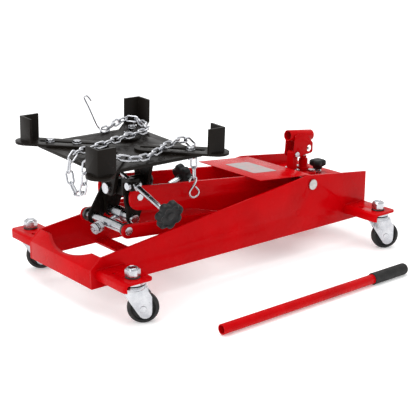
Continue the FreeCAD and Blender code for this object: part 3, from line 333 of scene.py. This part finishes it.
def painted(name, base, deep, worn, rough=(0.2, 0.34), coat=0.03, shine=0.04, chip=0.72):
    """Baked paint: a slight orange peel, uneven depth of colour, and a few scuffs and chips."""
    finish = Finish(name)
    finish.set(Specular_IOR_Level=shine, Coat_Weight=coat, Coat_Roughness=0.06)
    body = finish.mixed(finish.ranged(finish.noise(9, 3), 0.35, 0.68), base, deep)
    scuff = finish.ranged(finish.noise(60, 6, 0.7, stretch=(1.0, 1.0, 3.0)), 0.66, 0.74)
    chips = finish.ranged(finish.noise(310, 3, 0.65), chip, chip + 0.03)
    wear = finish.math("MULTIPLY", chips, finish.ranged(finish.noise(14, 2), 0.5, 0.62))
    spread = finish.ranged(finish.noise(22, 5, 0.6), 0.3, 0.7, *rough)
    finish.set(Base_Color=finish.mixed(wear, body, worn),
               Roughness=finish.math("ADD", spread, finish.math("MULTIPLY", scuff, 0.14)))
    finish.bump(finish.noise(420, 2), 0.07, 0.0003)
    finish.bump(wear, -0.25, 0.0003)
    return finish.material


def plated(name, base, tint, rough=(0.14, 0.32), grain=900):
    """Plating or bare steel: cloudy passivation, fine drawing marks and duller patches."""
    finish = Finish(name)
    cloud = finish.ranged(finish.noise(55, 5, 0.6), 0.34, 0.68)
    finish.set(Metallic=1.0, Base_Color=finish.mixed(cloud, base, tint),
               Roughness=finish.ranged(finish.noise(150, 5, 0.65), 0.3, 0.7, *rough))
    finish.bump(finish.noise(grain, 3), 0.12, 0.0002)
    return finish.material


def moulded(name, base, faded, rough=(0.38, 0.55), grain=1400, depth=0.00015):
    """Moulded plastic or rubber: a fine grain and slight greying."""
    finish = Finish(name)
    cloud = finish.ranged(finish.noise(38, 5, 0.6), 0.35, 0.7)
    finish.set(Specular_IOR_Level=0.18, Base_Color=finish.mixed(cloud, base, faded),
               Roughness=finish.ranged(finish.noise(90, 4), 0.3, 0.7, *rough))
    finish.bump(finish.noise(grain, 3), 0.3, depth)
    return finish.material


FINISHES = {
    "red_paint": painted("red_gloss_coat", (0.50, 0.0, 0.002), (0.41, 0.0, 0.0015), (0.15, 0.01, 0.01)),
    "black_paint": painted("black_gloss_coat", (0.0065, 0.005, 0.004), (0.011, 0.0088, 0.0072),
                           (0.09, 0.08, 0.075), rough=(0.24, 0.4), coat=0.02, shine=0.07, chip=0.69),
    "zinc_plate": plated("bright_zinc", (0.56, 0.565, 0.585), (0.40, 0.41, 0.44)),
    "ground_steel": plated("ground_steel", (0.5, 0.49, 0.475), (0.37, 0.36, 0.35), rough=(0.2, 0.34)),
    "dark_oxide": plated("dark_oxide", (0.06, 0.058, 0.058), (0.12, 0.115, 0.11), rough=(0.3, 0.48)),
    "black_plastic": moulded("black_moulding", (0.007, 0.0075, 0.008), (0.014, 0.0145, 0.015)),
    "rubber_grip": moulded("grip_rubber", (0.014, 0.014, 0.014), (0.028, 0.027, 0.026),
                           rough=(0.45, 0.62)),
    "wheel_tread": moulded("wheel_rubber", (0.011, 0.011, 0.012), (0.032, 0.031, 0.029),
                           rough=(0.36, 0.58)),
}
LABEL = moulded("faded_label", (0.30, 0.31, 0.30), (0.42, 0.27, 0.27), rough=(0.3, 0.5), grain=500)


# ---- meshes -------------------------------------------------------------------------------

def meshed(work, name):
    """The finished mesh of some working geometry, which is let go."""
    mesh = bpy.data.meshes.new(name)
    work.to_mesh(mesh)
    work.free()
    return mesh


def finished(mesh, name, body, slot, node=None, material=None, angle=SHARP):
    """Adds a piece at the origin, in its body, with its slot's finish or a given material."""
    mesh.name = name
    mesh.materials.clear()
    mesh.materials.append(material or FINISHES[slot])
    mesh.shade_smooth()
    mesh.set_sharp_from_angle(angle=math.radians(angle))
    piece = bpy.data.objects.new(name, mesh)
    bpy.context.scene.collection.objects.link(piece)
    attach(piece, body)
    if node:
        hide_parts(node)
        REPLACED.add(node)


def join(name, body, slot, *meshes, node=None, angle=SHARP):
    """Adds one piece joined from several meshes."""
    work = bmesh.new()
    for mesh in meshes:
        work.from_mesh(mesh)
    finished(meshed(work, name), name, body, slot, node, angle=angle)


def rebuilt(node, *meshes, angle=SHARP):
    """Replaces a CAD node by one piece joined from several meshes."""
    join(f"{node}_piece", BODY_OF[node], SLOT_OF[node], *meshes, node=node, angle=angle)


def softened(node, width):
    """A copy of a CAD node's mesh with its sharp edges rounded over, or None if it can't be."""
    source = frame["nodes"][node].data
    work = bmesh.new()
    work.from_mesh(source)
    bmesh.ops.remove_doubles(work, verts=work.verts, dist=2e-6)
    bmesh.ops.dissolve_limit(work, angle_limit=math.radians(0.4), verts=work.verts, edges=work.edges)
    volume = work.calc_volume()
    sharp = [edge for edge in work.edges
             if len(edge.link_faces) == 2 and edge.calc_face_angle(0) > math.radians(28)]
    bmesh.ops.bevel(work, geom=sharp, offset=width * MM, segments=2, profile=0.6,
                    affect="EDGES", clamp_overlap=True, harden_normals=False)
    bmesh.ops.remove_doubles(work, verts=work.verts, dist=1e-6)
    changed = abs(work.calc_volume() - volume) / max(abs(volume), 1e-12)
    mesh = meshed(work, f"{node}_soft")
    return mesh if changed < LARGEST_CHANGE else None


def refine(node, width):
    """Shows a CAD node with rounded edges, or as it is where they can't be, in its finish."""
    slot = SLOT_OF[node]
    mesh = softened(node, width)
    if mesh is None:
        frame["nodes"][node].material_slots[0].material = FINISHES[slot]
    else:
        finished(mesh, f"{node}_finished", BODY_OF[node], slot, node)


def lathed(placement, profile, closed=False, around=40, outline=None):
    """A mesh turned about +Z from (height, radius) pairs in millimetres, then put in place.

    closed joins the profile's last ring to its first, for a piece with a bore. outline turns
    an angle and a radius into the radius there, for a piece that isn't round.
    """
    work = bmesh.new()
    rings = []
    for height, radius in profile:
        ring = []
        for step in range(around):
            angle = TAU * step / around
            reach = outline(angle, radius) if outline else radius
            ring.append(work.verts.new((reach * MM * math.cos(angle), reach * MM * math.sin(angle),
                                        height * MM)))
        rings.append(ring)
    pairs = list(zip(rings, rings[1:])) + ([(rings[-1], rings[0])] if closed else [])
    for low, high in pairs:
        for step in range(around):
            following = (step + 1) % around
            work.faces.new((low[step], low[following], high[following], high[step]))
    if not closed:
        work.faces.new(rings[0][::-1])
        work.faces.new(rings[-1])
    bmesh.ops.recalc_face_normals(work, faces=work.faces)
    work.transform(placement)
    return meshed(work, "turned")


def stepped(*cylinders, edge=0.6):
    """The profile of coaxial cylinders, given as (length, radius), with chamfered corners."""
    profile = []
    at = 0.0
    for index, (length, radius) in enumerate(cylinders):
        before = cylinders[index - 1][1] if index else 0
        after = cylinders[index + 1][1] if index + 1 < len(cylinders) else 0
        cut = min(edge, length * 0.3, radius * 0.3)
        if before < radius:
            profile.append((at, radius - cut))
        profile.append((at + cut if before < radius else at, radius))
        profile.append((at + length - cut if after < radius else at + length, radius))
        if after < radius:
            profile.append((at + length, radius - cut))
        at += length
    return profile


def spindle(start, axis, *cylinders):
    """Coaxial cylinders that start at a point in the frame and run along an axis."""
    return lathed(standing(start, axis), stepped(*cylinders))


def across(at, reach, *cylinders):
    """A shaft across the jack at (x, z), from its left end at a distance from the middle plane."""
    x, z = at
    return spindle(from_front(x, -reach, z), Y, *cylinders)


def ringed(start, axis, length, outer, inner):
    """A washer or collar with its hole."""
    profile = [(0, inner), (0, outer - 0.5), (0.5, outer), (length - 0.5, outer),
               (length, outer - 0.5), (length, inner)]
    return lathed(standing(start, axis), profile, closed=True)


def hexes(places, axis, wide, high):
    """Hexagon nuts or bolt heads standing on points, all along one axis."""
    base = bpy.data.meshes.new("places")
    base.from_pydata([tuple(place) for place in places], [], [])
    attribute = base.attributes.new("axis", "FLOAT_VECTOR", "POINT")
    for item in attribute.data:
        item.vector = axis
    return HEX.grow(base, None, Across=wide * MM, Height=high * MM)


def threaded(start, axis, begin, length):
    """A length of threaded rod along an axis, from a distance along it."""
    base = bpy.data.meshes.new("rod")
    rod = THREAD.grow(base, None, Length=length * MM, Radius=SCREW_RADIUS * MM,
                      Pitch=SCREW_PITCH * MM, Depth=THREAD_DEPTH * MM)
    rod.transform(standing(along(start, axis, begin), axis))
    return rod


def smooth_line(points):
    """The line of an open spline through a route's control points, as a mesh of edges."""
    curve = bpy.data.curves.new("line", "CURVE")
    curve.dimensions = "3D"
    spline = curve.splines.new("NURBS")
    spline.points.add(len(points) - 1)
    for item, point in zip(spline.points, points):
        item.co = (*point, 1.0)
    spline.order_u = SPLINE_ORDER
    spline.use_endpoint_u = True
    curve.resolution_u = 12
    item = bpy.data.objects.new("line", curve)
    bpy.context.scene.collection.objects.link(item)
    mesh = bpy.data.meshes.new_from_object(item)
    bpy.data.objects.remove(item)
    return mesh


def wire(points, thickness):
    """Round wire with rounded ends, bent along a route."""
    stops = [vertex.co.copy() for vertex in smooth_line(points).vertices]
    count = 14
    radius = thickness / 2 * MM
    work = bmesh.new()
    normal = (stops[1] - stops[0]).orthogonal().normalized()
    rings = []
    for index, stop in enumerate(stops):
        tangent = (stops[min(index + 1, len(stops) - 1)] - stops[max(index - 1, 0)]).normalized()
        normal = (normal - tangent * normal.dot(tangent)).normalized()
        side = tangent.cross(normal)
        rings.append([work.verts.new(stop + radius * (normal * math.cos(TAU * step / count)
                                                      + side * math.sin(TAU * step / count)))
                      for step in range(count)])
    for low, high in zip(rings, rings[1:]):
        for step in range(count):
            following = (step + 1) % count
            work.faces.new((low[step], low[following], high[following], high[step]))
    for ring, way in ((rings[0], stops[0] - stops[1]), (rings[-1], stops[-1] - stops[-2])):
        tip = work.verts.new(sum((vertex.co for vertex in ring), Vector()) / count
                             + way.normalized() * (thickness * 0.3 * MM))
        for step in range(count):
            work.faces.new((ring[step], ring[(step + 1) % count], tip))
    bmesh.ops.recalc_face_normals(work, faces=work.faces)
    return meshed(work, "wire")


# ---- load chain and its hooks -------------------------------------------------------------

CHAIN_ROUTE = [
    (232, 140, 364), (258, 148, 366), (288, 163, 373), (320, 168, 375), (338, 155, 374),
    (333, 124, 375), (325, 88, 373), (309, 60, 372), (284, 43, 372), (250, 34, 372),
    (217, 27, 372), (189, 18, 372), (160, 9, 372), (130, 3, 370), (100, -1, 367),
    (66, -9, 368), (36, -25, 370), (21, -33, 360), (18, -29, 340), (18, -33, 318),
    (18, -41, 299), (18, -57, 287), (18, -75, 286), (18, -89, 295), (18, -95, 314),
    (18, -98, 335), (18, -99, 357), (22, -100, 373), (44, -108, 377), (76, -116, 378),
    (104, -126, 373), (128, -134, 368), (151, -137, 367), (184, -128, 367), (215, -115, 369),
    (245, -101, 374), (278, -92, 375), (303, -84, 377), (326, -82, 374), (340, -87, 364),
    (345, -91, 344), (345, -93, 317), (346, -94, 288),
]
LONG_HOOK_ROUTE = [(246, 152, 358.2), (232, 155, 360), (220, 156, 368), (198, 158, 419), (185, 159, 444),
                   (181, 159, 452), (186, 159, 456), (194, 159, 453), (203, 159, 440)]
S_HOOK_ROUTE = [(331, -95, 266), (332, -95, 274), (343, -95, 278), (353, -95, 274), (353, -95, 263),
                (342, -95, 250), (331, -95, 238), (335, -95, 226), (350, -95, 220), (364, -95, 229),
                (361, -95, 241), (351, -95, 249)]


def load_chain():
    """The chain link by link, with the wire hook at each end."""
    line = smooth_line([on_saddle(*point) for point in CHAIN_ROUTE])
    links = CHAIN.grow(line, FINISHES["zinc_plate"], Pitch=CHAIN_PITCH * MM, Wire=CHAIN_WIRE * MM,
                       Width=CHAIN_WIDTH * MM, Slack=0.2, Seed=7.0)
    finished(links, "load_chain_links", "saddle", SLOT_OF["load_chain"], "load_chain", angle=60)
    rebuilt("chain_long_hook", wire([on_saddle(*point) for point in LONG_HOOK_ROUTE], 4.4), angle=60)
    rebuilt("chain_s_hook", wire([on_saddle(*point) for point in S_HOOK_ROUTE], 5.0), angle=60)


# ---- screws and knobs ---------------------------------------------------------------------

def lobed(lobes, lobe_out, lobe_radius, root):
    """The outline of a knob: round lobes whose centres stand out from the middle."""
    def reach(angle, radius):
        share = radius / KNOB_RADIUS
        off = (angle % (TAU / lobes)) - TAU / lobes / 2
        side = lobe_out * math.sin(off)
        inside = lobe_radius ** 2 - side ** 2
        lobe = lobe_out * math.cos(off) + math.sqrt(inside) if inside > 0 else 0
        blend = min(1.0, max(0.0, (share - 0.5) / 0.35))
        return radius + blend * share * (max(lobe, root) - KNOB_RADIUS)
    return reach


def star_knob(placement):
    """A moulded knob: neck, lobed rim with rolled edges, and a dished face with a raised boss."""
    rim, depth = KNOB_RADIUS, KNOB_DEPTH
    profile = [(0, 10.5), (0.6, 11.2), (4, 12.5), (4.6, 22), (5.2, rim - 5), (6.4, rim - 1.6),
               (8.6, rim), (depth - 6, rim), (depth - 3.2, rim - 0.9), (depth - 1.2, rim - 3.4),
               (depth - 0.6, rim - 6.5), (depth - 1.6, rim - 9), (depth - 4.6, rim - 11),
               (depth - 5.6, 20), (depth - 5.6, 11.5), (depth - 5.0, 10.4), (depth - 3.4, 9.8),
               (depth - 2.8, 8.8), (depth - 2.8, 0.4)]
    rounded = lobed(lobes=7, lobe_out=26.0, lobe_radius=11.0, root=30.0)
    return lathed(placement, profile, around=140, outline=rounded)


def screws_and_knobs():
    """The fore-and-aft tilt screw and the side tilt screw, with their nuts, collars and knobs."""
    tilt = (TILT_START, TILT_AXIS)
    rebuilt("tilt_screw", threaded(*tilt, -46, 292),
            hexes([along(*tilt, -43), along(*tilt, -27)], TILT_AXIS, 24, 10),
            ringed(along(*tilt, -31.5), TILT_AXIS, 2.6, 14.5, 6.2),
            spindle(along(*tilt, 206), TILT_AXIS, (34, 9.5)))
    rebuilt("tilt_knob", star_knob(standing(along(*tilt, 240), TILT_AXIS)), angle=40)
    side = (SIDE_START, SIDE_AXIS)
    rebuilt("side_screw", threaded(*side, -98, 160),
            spindle(along(*side, 14), SIDE_AXIS, (3, 8), (6, 9), (50, 6.8)),
            spindle(along(*side, 62), SIDE_AXIS, (76, 6.2)))
    rebuilt("side_knob", star_knob(standing(along(*side, 136), SIDE_AXIS)), angle=40)


# ---- shafts, pins and fasteners -------------------------------------------------------------

def at_stems(height):
    """The points at one height on the axes of the four caster stems."""
    return [from_front(x, y, height) for x, y, _, _ in STEMS]


def caster_fasteners():
    """The casters' stems, races, seals, washers and domed nuts."""
    dome = [(0, 14.4), (1.2, 14.2), (2.6, 13), (3.2, 11.2), (2.6, 10.1), (0, 10.1)]
    rebuilt("caster_stems", *[spindle(at, Z, (2.5, 14), (52, 10)) for at in at_stems(81.5)],
            *[ringed(at, Z, 6.3, 31, 9.9) for at in at_stems(99.6)])
    join("caster_seals", "frame", "black_plastic",
         *[ringed(at, Z, 2.4, 27, 9.9) for at in at_stems(97.2)])
    rebuilt("caster_washers", *[ringed(at, Z, 3, 18, 10.1) for at in at_stems(BRACKET_TOP)])
    rebuilt("caster_nuts", hexes(at_stems(BRACKET_TOP + 3), Z, 32, 19),
            *[lathed(standing(at, Z), dome, closed=True) for at in at_stems(BRACKET_TOP + 21.8)])


def linkage_pins():
    """The pins and shafts that the arm, the links and the head turn on."""
    rebuilt("upper_pins", across(UPPER_PIN, 74.5, (30.2, 9)), across(UPPER_PIN, -44.3, (30.2, 9)))
    rebuilt("pivot_shafts", across(MAIN_PIVOT, 148, (4.5, 14.5), (287, 12), (4.5, 14.5)))
    join("lower_pivot_shaft", "frame", "red_paint",
         across(LOWER_PIVOT, RAIL_FACE, (2 * RAIL_FACE, 8)))
    rebuilt("lower_cross_shaft",
            across(LOWER_PIN, 98, (2, 10.5), (9, 8), (174, 12), (9, 8), (2, 10.5)))
    rebuilt("cross_shaft_washers", *[ringed(from_front(LOWER_PIN[0], y, LOWER_PIN[1]), Y, 8, 17, 12.1)
                                     for y in (-88.5, 80.5)])
    rebuilt("tilt_trunnion", across(TRUNNION, 64.2, (46.2, 12), (36, 18), (46.2, 12)))


def saddle_fasteners():
    """The shaft that the saddle rolls on, the swivel's bolts, and the arms' bolts and nuts."""
    rebuilt("roll_shaft",
            spindle(on_saddle(139, 0, ROLL_HEIGHT), X, (8, 14), (112, 9), (12, 12), (6, 9)))
    rebuilt("roll_washer", ringed(on_saddle(271, 0, ROLL_HEIGHT), X, 5, 17, 9.1))
    rebuilt("side_swivel_bolts", *[spindle(from_front(x, -84, 279), X, (7, 10)) for x in (147, 178)])
    shanks, heads, nuts = [], [], []
    for across_x in (-1, 1):
        for across_y in (-1, 1):
            for radius in BOLT_CIRCLES:
                step = radius * math.sqrt(0.5)
                x, y = SADDLE_FROM_FRONT + step * across_x, step * across_y
                shanks.append(spindle(on_saddle(x, y, 335), SADDLE_UP, (26, 6)))
                shanks.append(ringed(on_saddle(x, y, 361.35), SADDLE_UP, 1.6, 11, 6.1))
                heads.append(on_saddle(x, y, 362.6))
                nuts.append(on_saddle(x, y, 338.5))
    rebuilt("saddle_bolts", hexes(heads, SADDLE_UP, 18, 5.9), hexes(nuts, SADDLE_UP, 18, 8.2), *shanks)


def pump_details():
    """The hydraulic unit's small round and hexagonal parts."""
    rebuilt("pump_fasteners", across((779, 247), 24, (3, 8), (42, 5), (3, 8)),
            hexes([from_front(782, y, 198) for y in (-19, 19)], Z, 15.2, 5),
            hexes([from_front(829, y, 192) for y in (-30, 30)], Z, 18.7, 6))
    rebuilt("pump_cylinder", spindle(from_front(PUMP_FROM_FRONT, 0, 161), Z, (64, 13), (9, 9.5)),
            hexes([from_front(PUMP_FROM_FRONT, 0, 192)], Z, 30, 9))
    rebuilt("pump_plunger", spindle(from_front(PUMP_FROM_FRONT, 0, 190), Z, (74, 7)),
            across((PUMP_FROM_FRONT, 258), 21.5, (43, 4)))
    rebuilt("release_valve", spindle(from_front(VALVE_FROM_FRONT, 0, 144), Z, (36, 8.9), (22, 5)),
            hexes([from_front(VALVE_FROM_FRONT, 0, 174)], Z, 22, 6))
    rebuilt("release_knob", release_knob(), angle=40)


def release_knob():
    """A squarish four-lobed knob with a rounded top and a neck."""
    def square(angle, radius):
        share = min(1.0, max(0.0, (radius - 13) / 9))
        return radius * (1 + 0.17 * share * math.cos(4 * (angle - math.pi / 4)))
    profile = [(0, 12), (0.8, 13), (7, 14), (9.5, 17.5), (11.5, 20.2), (14, 21.2), (22, 21.2),
               (25, 20.4), (27, 18.2), (27.8, 15.5), (27.2, 11), (26.6, 8), (26.6, 0.4)]
    return lathed(standing(from_front(VALVE_FROM_FRONT, 0, 184), Z), profile, around=96,
                  outline=square)


# ---- wheels, handle -------------------------------------------------------------------------

def caster_fork(x, y, end, side):
    """A pressed fork: a round top with a rolled lip and two legs that narrow to the axle."""
    turn = Matrix.Rotation(CASTER_HEADING, 4, "Z")
    placement = Matrix.Translation(from_front(x, y, 0)) @ turn
    top = lathed(placement, [(85.5, 10.1), (85.5, 24), (86.2, 29.5), (88.6, 31.4), (93, 31.4),
                             (96.2, 29.8), (97, 26), (97, 10.1)], closed=True)
    legs = [fork_leg(placement, start) for start in (-17.2, 14.2)]
    axle_at = placement @ Vector((CASTER_TRAIL * MM, 0, WHEEL_RADIUS * MM))
    axle_way = turn @ Y
    axle = [spindle(axle_at - axle_way * 0.0195, axle_way, (2.4, 8), (34.2, 5), (2.4, 8))]
    rebuilt(f"caster_fork_{end}_{side}", top, *legs, *axle)


def fork_leg(placement, start):
    """One leg of a fork, from a distance sideways, rounded at the axle."""
    outline = [(-22, 93), (-25, 88), (-24, 80), (10, 26)]
    arc = [(26.5 + 16 * math.cos(angle), 30 + 16 * math.sin(angle))
           for angle in [math.radians(200 + 20 * step) for step in range(9)]]
    outline += arc + [(43, 44), (43, 68), (36, 80), (32, 93)]
    work = bmesh.new()
    near = [work.verts.new((x * MM, start * MM, z * MM)) for x, z in outline]
    work.faces.new(near)
    sheet = bmesh.ops.extrude_face_region(work, geom=list(work.faces))
    moved = [item for item in sheet["geom"] if isinstance(item, bmesh.types.BMVert)]
    bmesh.ops.translate(work, verts=moved, vec=(0, 3 * MM, 0))
    bmesh.ops.recalc_face_normals(work, faces=work.faces)
    rim = [edge for edge in work.edges if edge.calc_face_angle(0) > math.radians(60)]
    bmesh.ops.bevel(work, geom=rim, offset=0.5 * MM, segments=2, profile=0.6, affect="EDGES",
                    clamp_overlap=True)
    work.transform(placement)
    return meshed(work, "leg")


def caster_wheel(x, y, end, side):
    """A moulded wheel: rounded tread, dished side, hub, and a bearing sleeve."""
    turn = Matrix.Rotation(CASTER_HEADING, 4, "Z")
    hub = from_front(x, y, WHEEL_RADIUS) + turn @ Vector((CASTER_TRAIL * MM, 0, 0))
    placement = Matrix.Translation(hub) @ turn @ Matrix.Rotation(math.pi / 2, 4, "X")
    half, r = WHEEL_HALF, WHEEL_RADIUS
    hub_side = [(half, 5.2), (half, 11.6), (half - 0.6, 12.6), (half - 3.4, 14), (half - 4.4, 16)]
    tyre_side = [(half - 4.4, r - 12.5), (half - 3.4, r - 10.5), (half - 0.5, r - 9.4),
                 (half, r - 8.6), (half - 0.1, r - 6.5), (half - 0.9, r - 4),
                 (half - 2.6, r - 1.8), (half - 5.2, r - 0.5), (half - 8, r)]
    side_profile = hub_side + tyre_side
    profile = side_profile + [(-height, radius) for height, radius in reversed(side_profile)]
    node = f"caster_wheel_{end}_{side}"
    rebuilt(node, lathed(placement, profile, closed=True, around=72))


def handle():
    """The handle's painted tube with its open end, and its ribbed grip."""
    start = standing(from_front(164, HANDLE_SIDE, HANDLE_HEIGHT), X)
    bore = [(0.0, 10.4), (0.0, 12.1), (0.6, 12.7), (619, 12.7), (620, 12.2), (620, 10.2), (0.8, 10.2)]
    rebuilt("handle_tube", lathed(start, bore, closed=True))
    ribs = [(6 + 3.2 * step + shift, 15.2 - drop) for step in range(34)
            for shift, drop in ((0.0, 0.0), (0.9, 0.35), (2.0, 0.35), (2.6, 0.0))]
    profile = [(0, 12.8), (0, 14.6), (0.8, 15.5), (4.4, 15.5), (5.2, 15.2)] + ribs
    profile += [(116, 15.3), (120.5, 15.0), (123.6, 13.6), (125.4, 11), (126, 7.5), (126, 0.4)]
    grip_start = standing(from_front(666, HANDLE_SIDE, HANDLE_HEIGHT), X)
    rebuilt("handle_grip", lathed(grip_start, profile, around=48), angle=50)


# ---- weld beads and the label ---------------------------------------------------------------

def beads(name, body, slot, lines, radius=2.4):
    """Weld beads along straight lines, each from one point to another."""
    meshes = []
    for number, (start, end) in enumerate(lines):
        base = bpy.data.meshes.new("seam")
        base.from_pydata([start, end], [(0, 1)], [])
        meshes.append(BEAD.grow(base, None, Spacing=radius * 0.9 * MM, Radius=radius * MM,
                                Seed=float(number)))
    join(name, body, slot, *meshes, angle=70)


def weld_beads():
    """The beads along the brackets, the front plate, the strip, the deck and the post."""
    seams = []
    for x, y, _, _ in STEMS:
        wall = math.copysign(RAIL_FACE, y)
        seams.append((from_front(x - 40, wall, 112), from_front(x + 36, wall, 112)))
        seams.append((from_front(x - 36, wall, 106), from_front(x + 36, wall, 106)))
    for side in (-RAIL_INSIDE, RAIL_INSIDE):
        seams.append((from_front(6.4, side, 68), from_front(6.4, side, 111)))
        seams.append((from_front(196, side, 72), from_front(235, side, 72)))
        seams.append((from_front(848, side, 174), from_front(930, side, 174)))
    beads("frame_welds", "frame", "red_paint", seams)
    post = [(from_front(772.6, y, 198.4), from_front(787.5, y, 198.4)) for y in (-13.2, 13.2)]
    beads("post_welds", "frame", "red_paint", post, 1.8)


def label():
    """A faded, unprinted label with rounded corners, on the cover's slope."""
    low, high = (from_front(540, 0, 234), from_front(727, 0, 218))
    slope = (high - low).normalized()
    middle = low + slope * 0.088 + Vector((0, 0.006, 0.00235))
    corners, radius, steps = (0.043, 0.062), 0.006, 6
    work = bmesh.new()
    ring = []
    for quarter, (sx, sy) in enumerate(((1, 1), (-1, 1), (-1, -1), (1, -1))):
        for step in range(steps + 1):
            angle = math.pi / 2 * (quarter + step / steps)
            offset = (sx * (corners[0] - radius) + radius * math.cos(angle),
                      sy * (corners[1] - radius) + radius * math.sin(angle))
            ring.append(middle + slope * offset[0] + Y * offset[1])
    up = slope.cross(Y) * 0.0002
    top = [work.verts.new(point + up) for point in ring]
    bottom = [work.verts.new(point - up) for point in ring]
    work.faces.new(top)
    work.faces.new(bottom[::-1])
    for index in range(len(ring)):
        following = (index + 1) % len(ring)
        work.faces.new((top[index], bottom[index], bottom[following], top[following]))
    bmesh.ops.recalc_face_normals(work, faces=work.faces)
    finished(meshed(work, "label"), "cover_label", "lift_arm", "black_plastic", material=LABEL)


load_chain()
screws_and_knobs()
caster_fasteners()
linkage_pins()
saddle_fasteners()
pump_details()
for stem in STEMS:
    caster_wheel(*stem)
    caster_fork(*stem)
handle()
weld_beads()
label()

WIDTHS = {"cover_plate": 0.5, "caster_brackets": 1.0, "left_rail": 1.2,
          "right_rail": 1.2, "front_cross_plate": 1.2, "pump_block": 2.0}

for node in frame["nodes"]:
    if node not in REPLACED:
        refine(node, WIDTHS.get(node, ROUND_EDGE))


# ---- stage --------------------------------------------------------------------------------

def floor():
    """A plain pale floor."""
    work = bmesh.new()
    bmesh.ops.create_grid(work, x_segments=1, y_segments=1, size=FLOOR_HALF)
    mesh = meshed(work, "floor")
    finish = Finish("pale_floor")
    cloud = finish.ranged(finish.noise(1.5, 3), 0.3, 0.7)
    finish.set(Roughness=0.6, Specular_IOR_Level=0.1, Emission_Strength=0.24,
               Emission_Color=(1.0, 1.0, 1.0, 1.0),
               Base_Color=finish.mixed(cloud, (0.97, 0.97, 0.97), (0.95, 0.95, 0.95)))
    mesh.materials.append(finish.material)
    ground = bpy.data.objects.new("floor", mesh)
    bpy.context.scene.collection.objects.link(ground)


def area_light(name, place, target, width, height, power):
    """A rectangular lamp that faces a target."""
    lamp = bpy.data.lights.new(name, "AREA")
    lamp.shape = "RECTANGLE"
    lamp.size = width
    lamp.size_y = height
    lamp.energy = power
    item = bpy.data.objects.new(name, lamp)
    item.location = place
    item.rotation_euler = (Vector(target) - Vector(place)).to_track_quat("-Z", "Y").to_euler()
    bpy.context.scene.collection.objects.link(item)


def studio():
    """The floor, an even white surround and two soft boxes."""
    floor()
    world = bpy.data.worlds.new("studio")
    world.use_nodes = True
    world.node_tree.nodes["Background"].inputs["Color"].default_value = (1.0, 1.0, 1.0, 1.0)
    world.node_tree.nodes["Background"].inputs["Strength"].default_value = 1.0
    bpy.context.scene.world = world
    area_light("top_box", (-0.1, 0.3, 2.4), (0, 0, 0), 2.2, 1.6, 30)
    area_light("left_box", (-2.6, -0.6, 1.3), (0, 0, 0.2), 1.2, 1.4, 14)
    bpy.context.scene.view_settings.view_transform = "Standard"


def camera():
    """The camera, ahead of the jack on its left and above it."""
    data = bpy.data.cameras.new("view")
    data.lens = 87.9
    data.sensor_width = 36
    item = bpy.data.objects.new("view", data)
    item.location = from_front(-1193.0, -2041.4, 950.6)
    target = from_front(624.3, 190.6, 67.4)
    item.rotation_euler = (target - item.location).to_track_quat("-Z", "Y").to_euler()
    bpy.context.scene.collection.objects.link(item)
    bpy.context.scene.camera = item


studio()
camera()
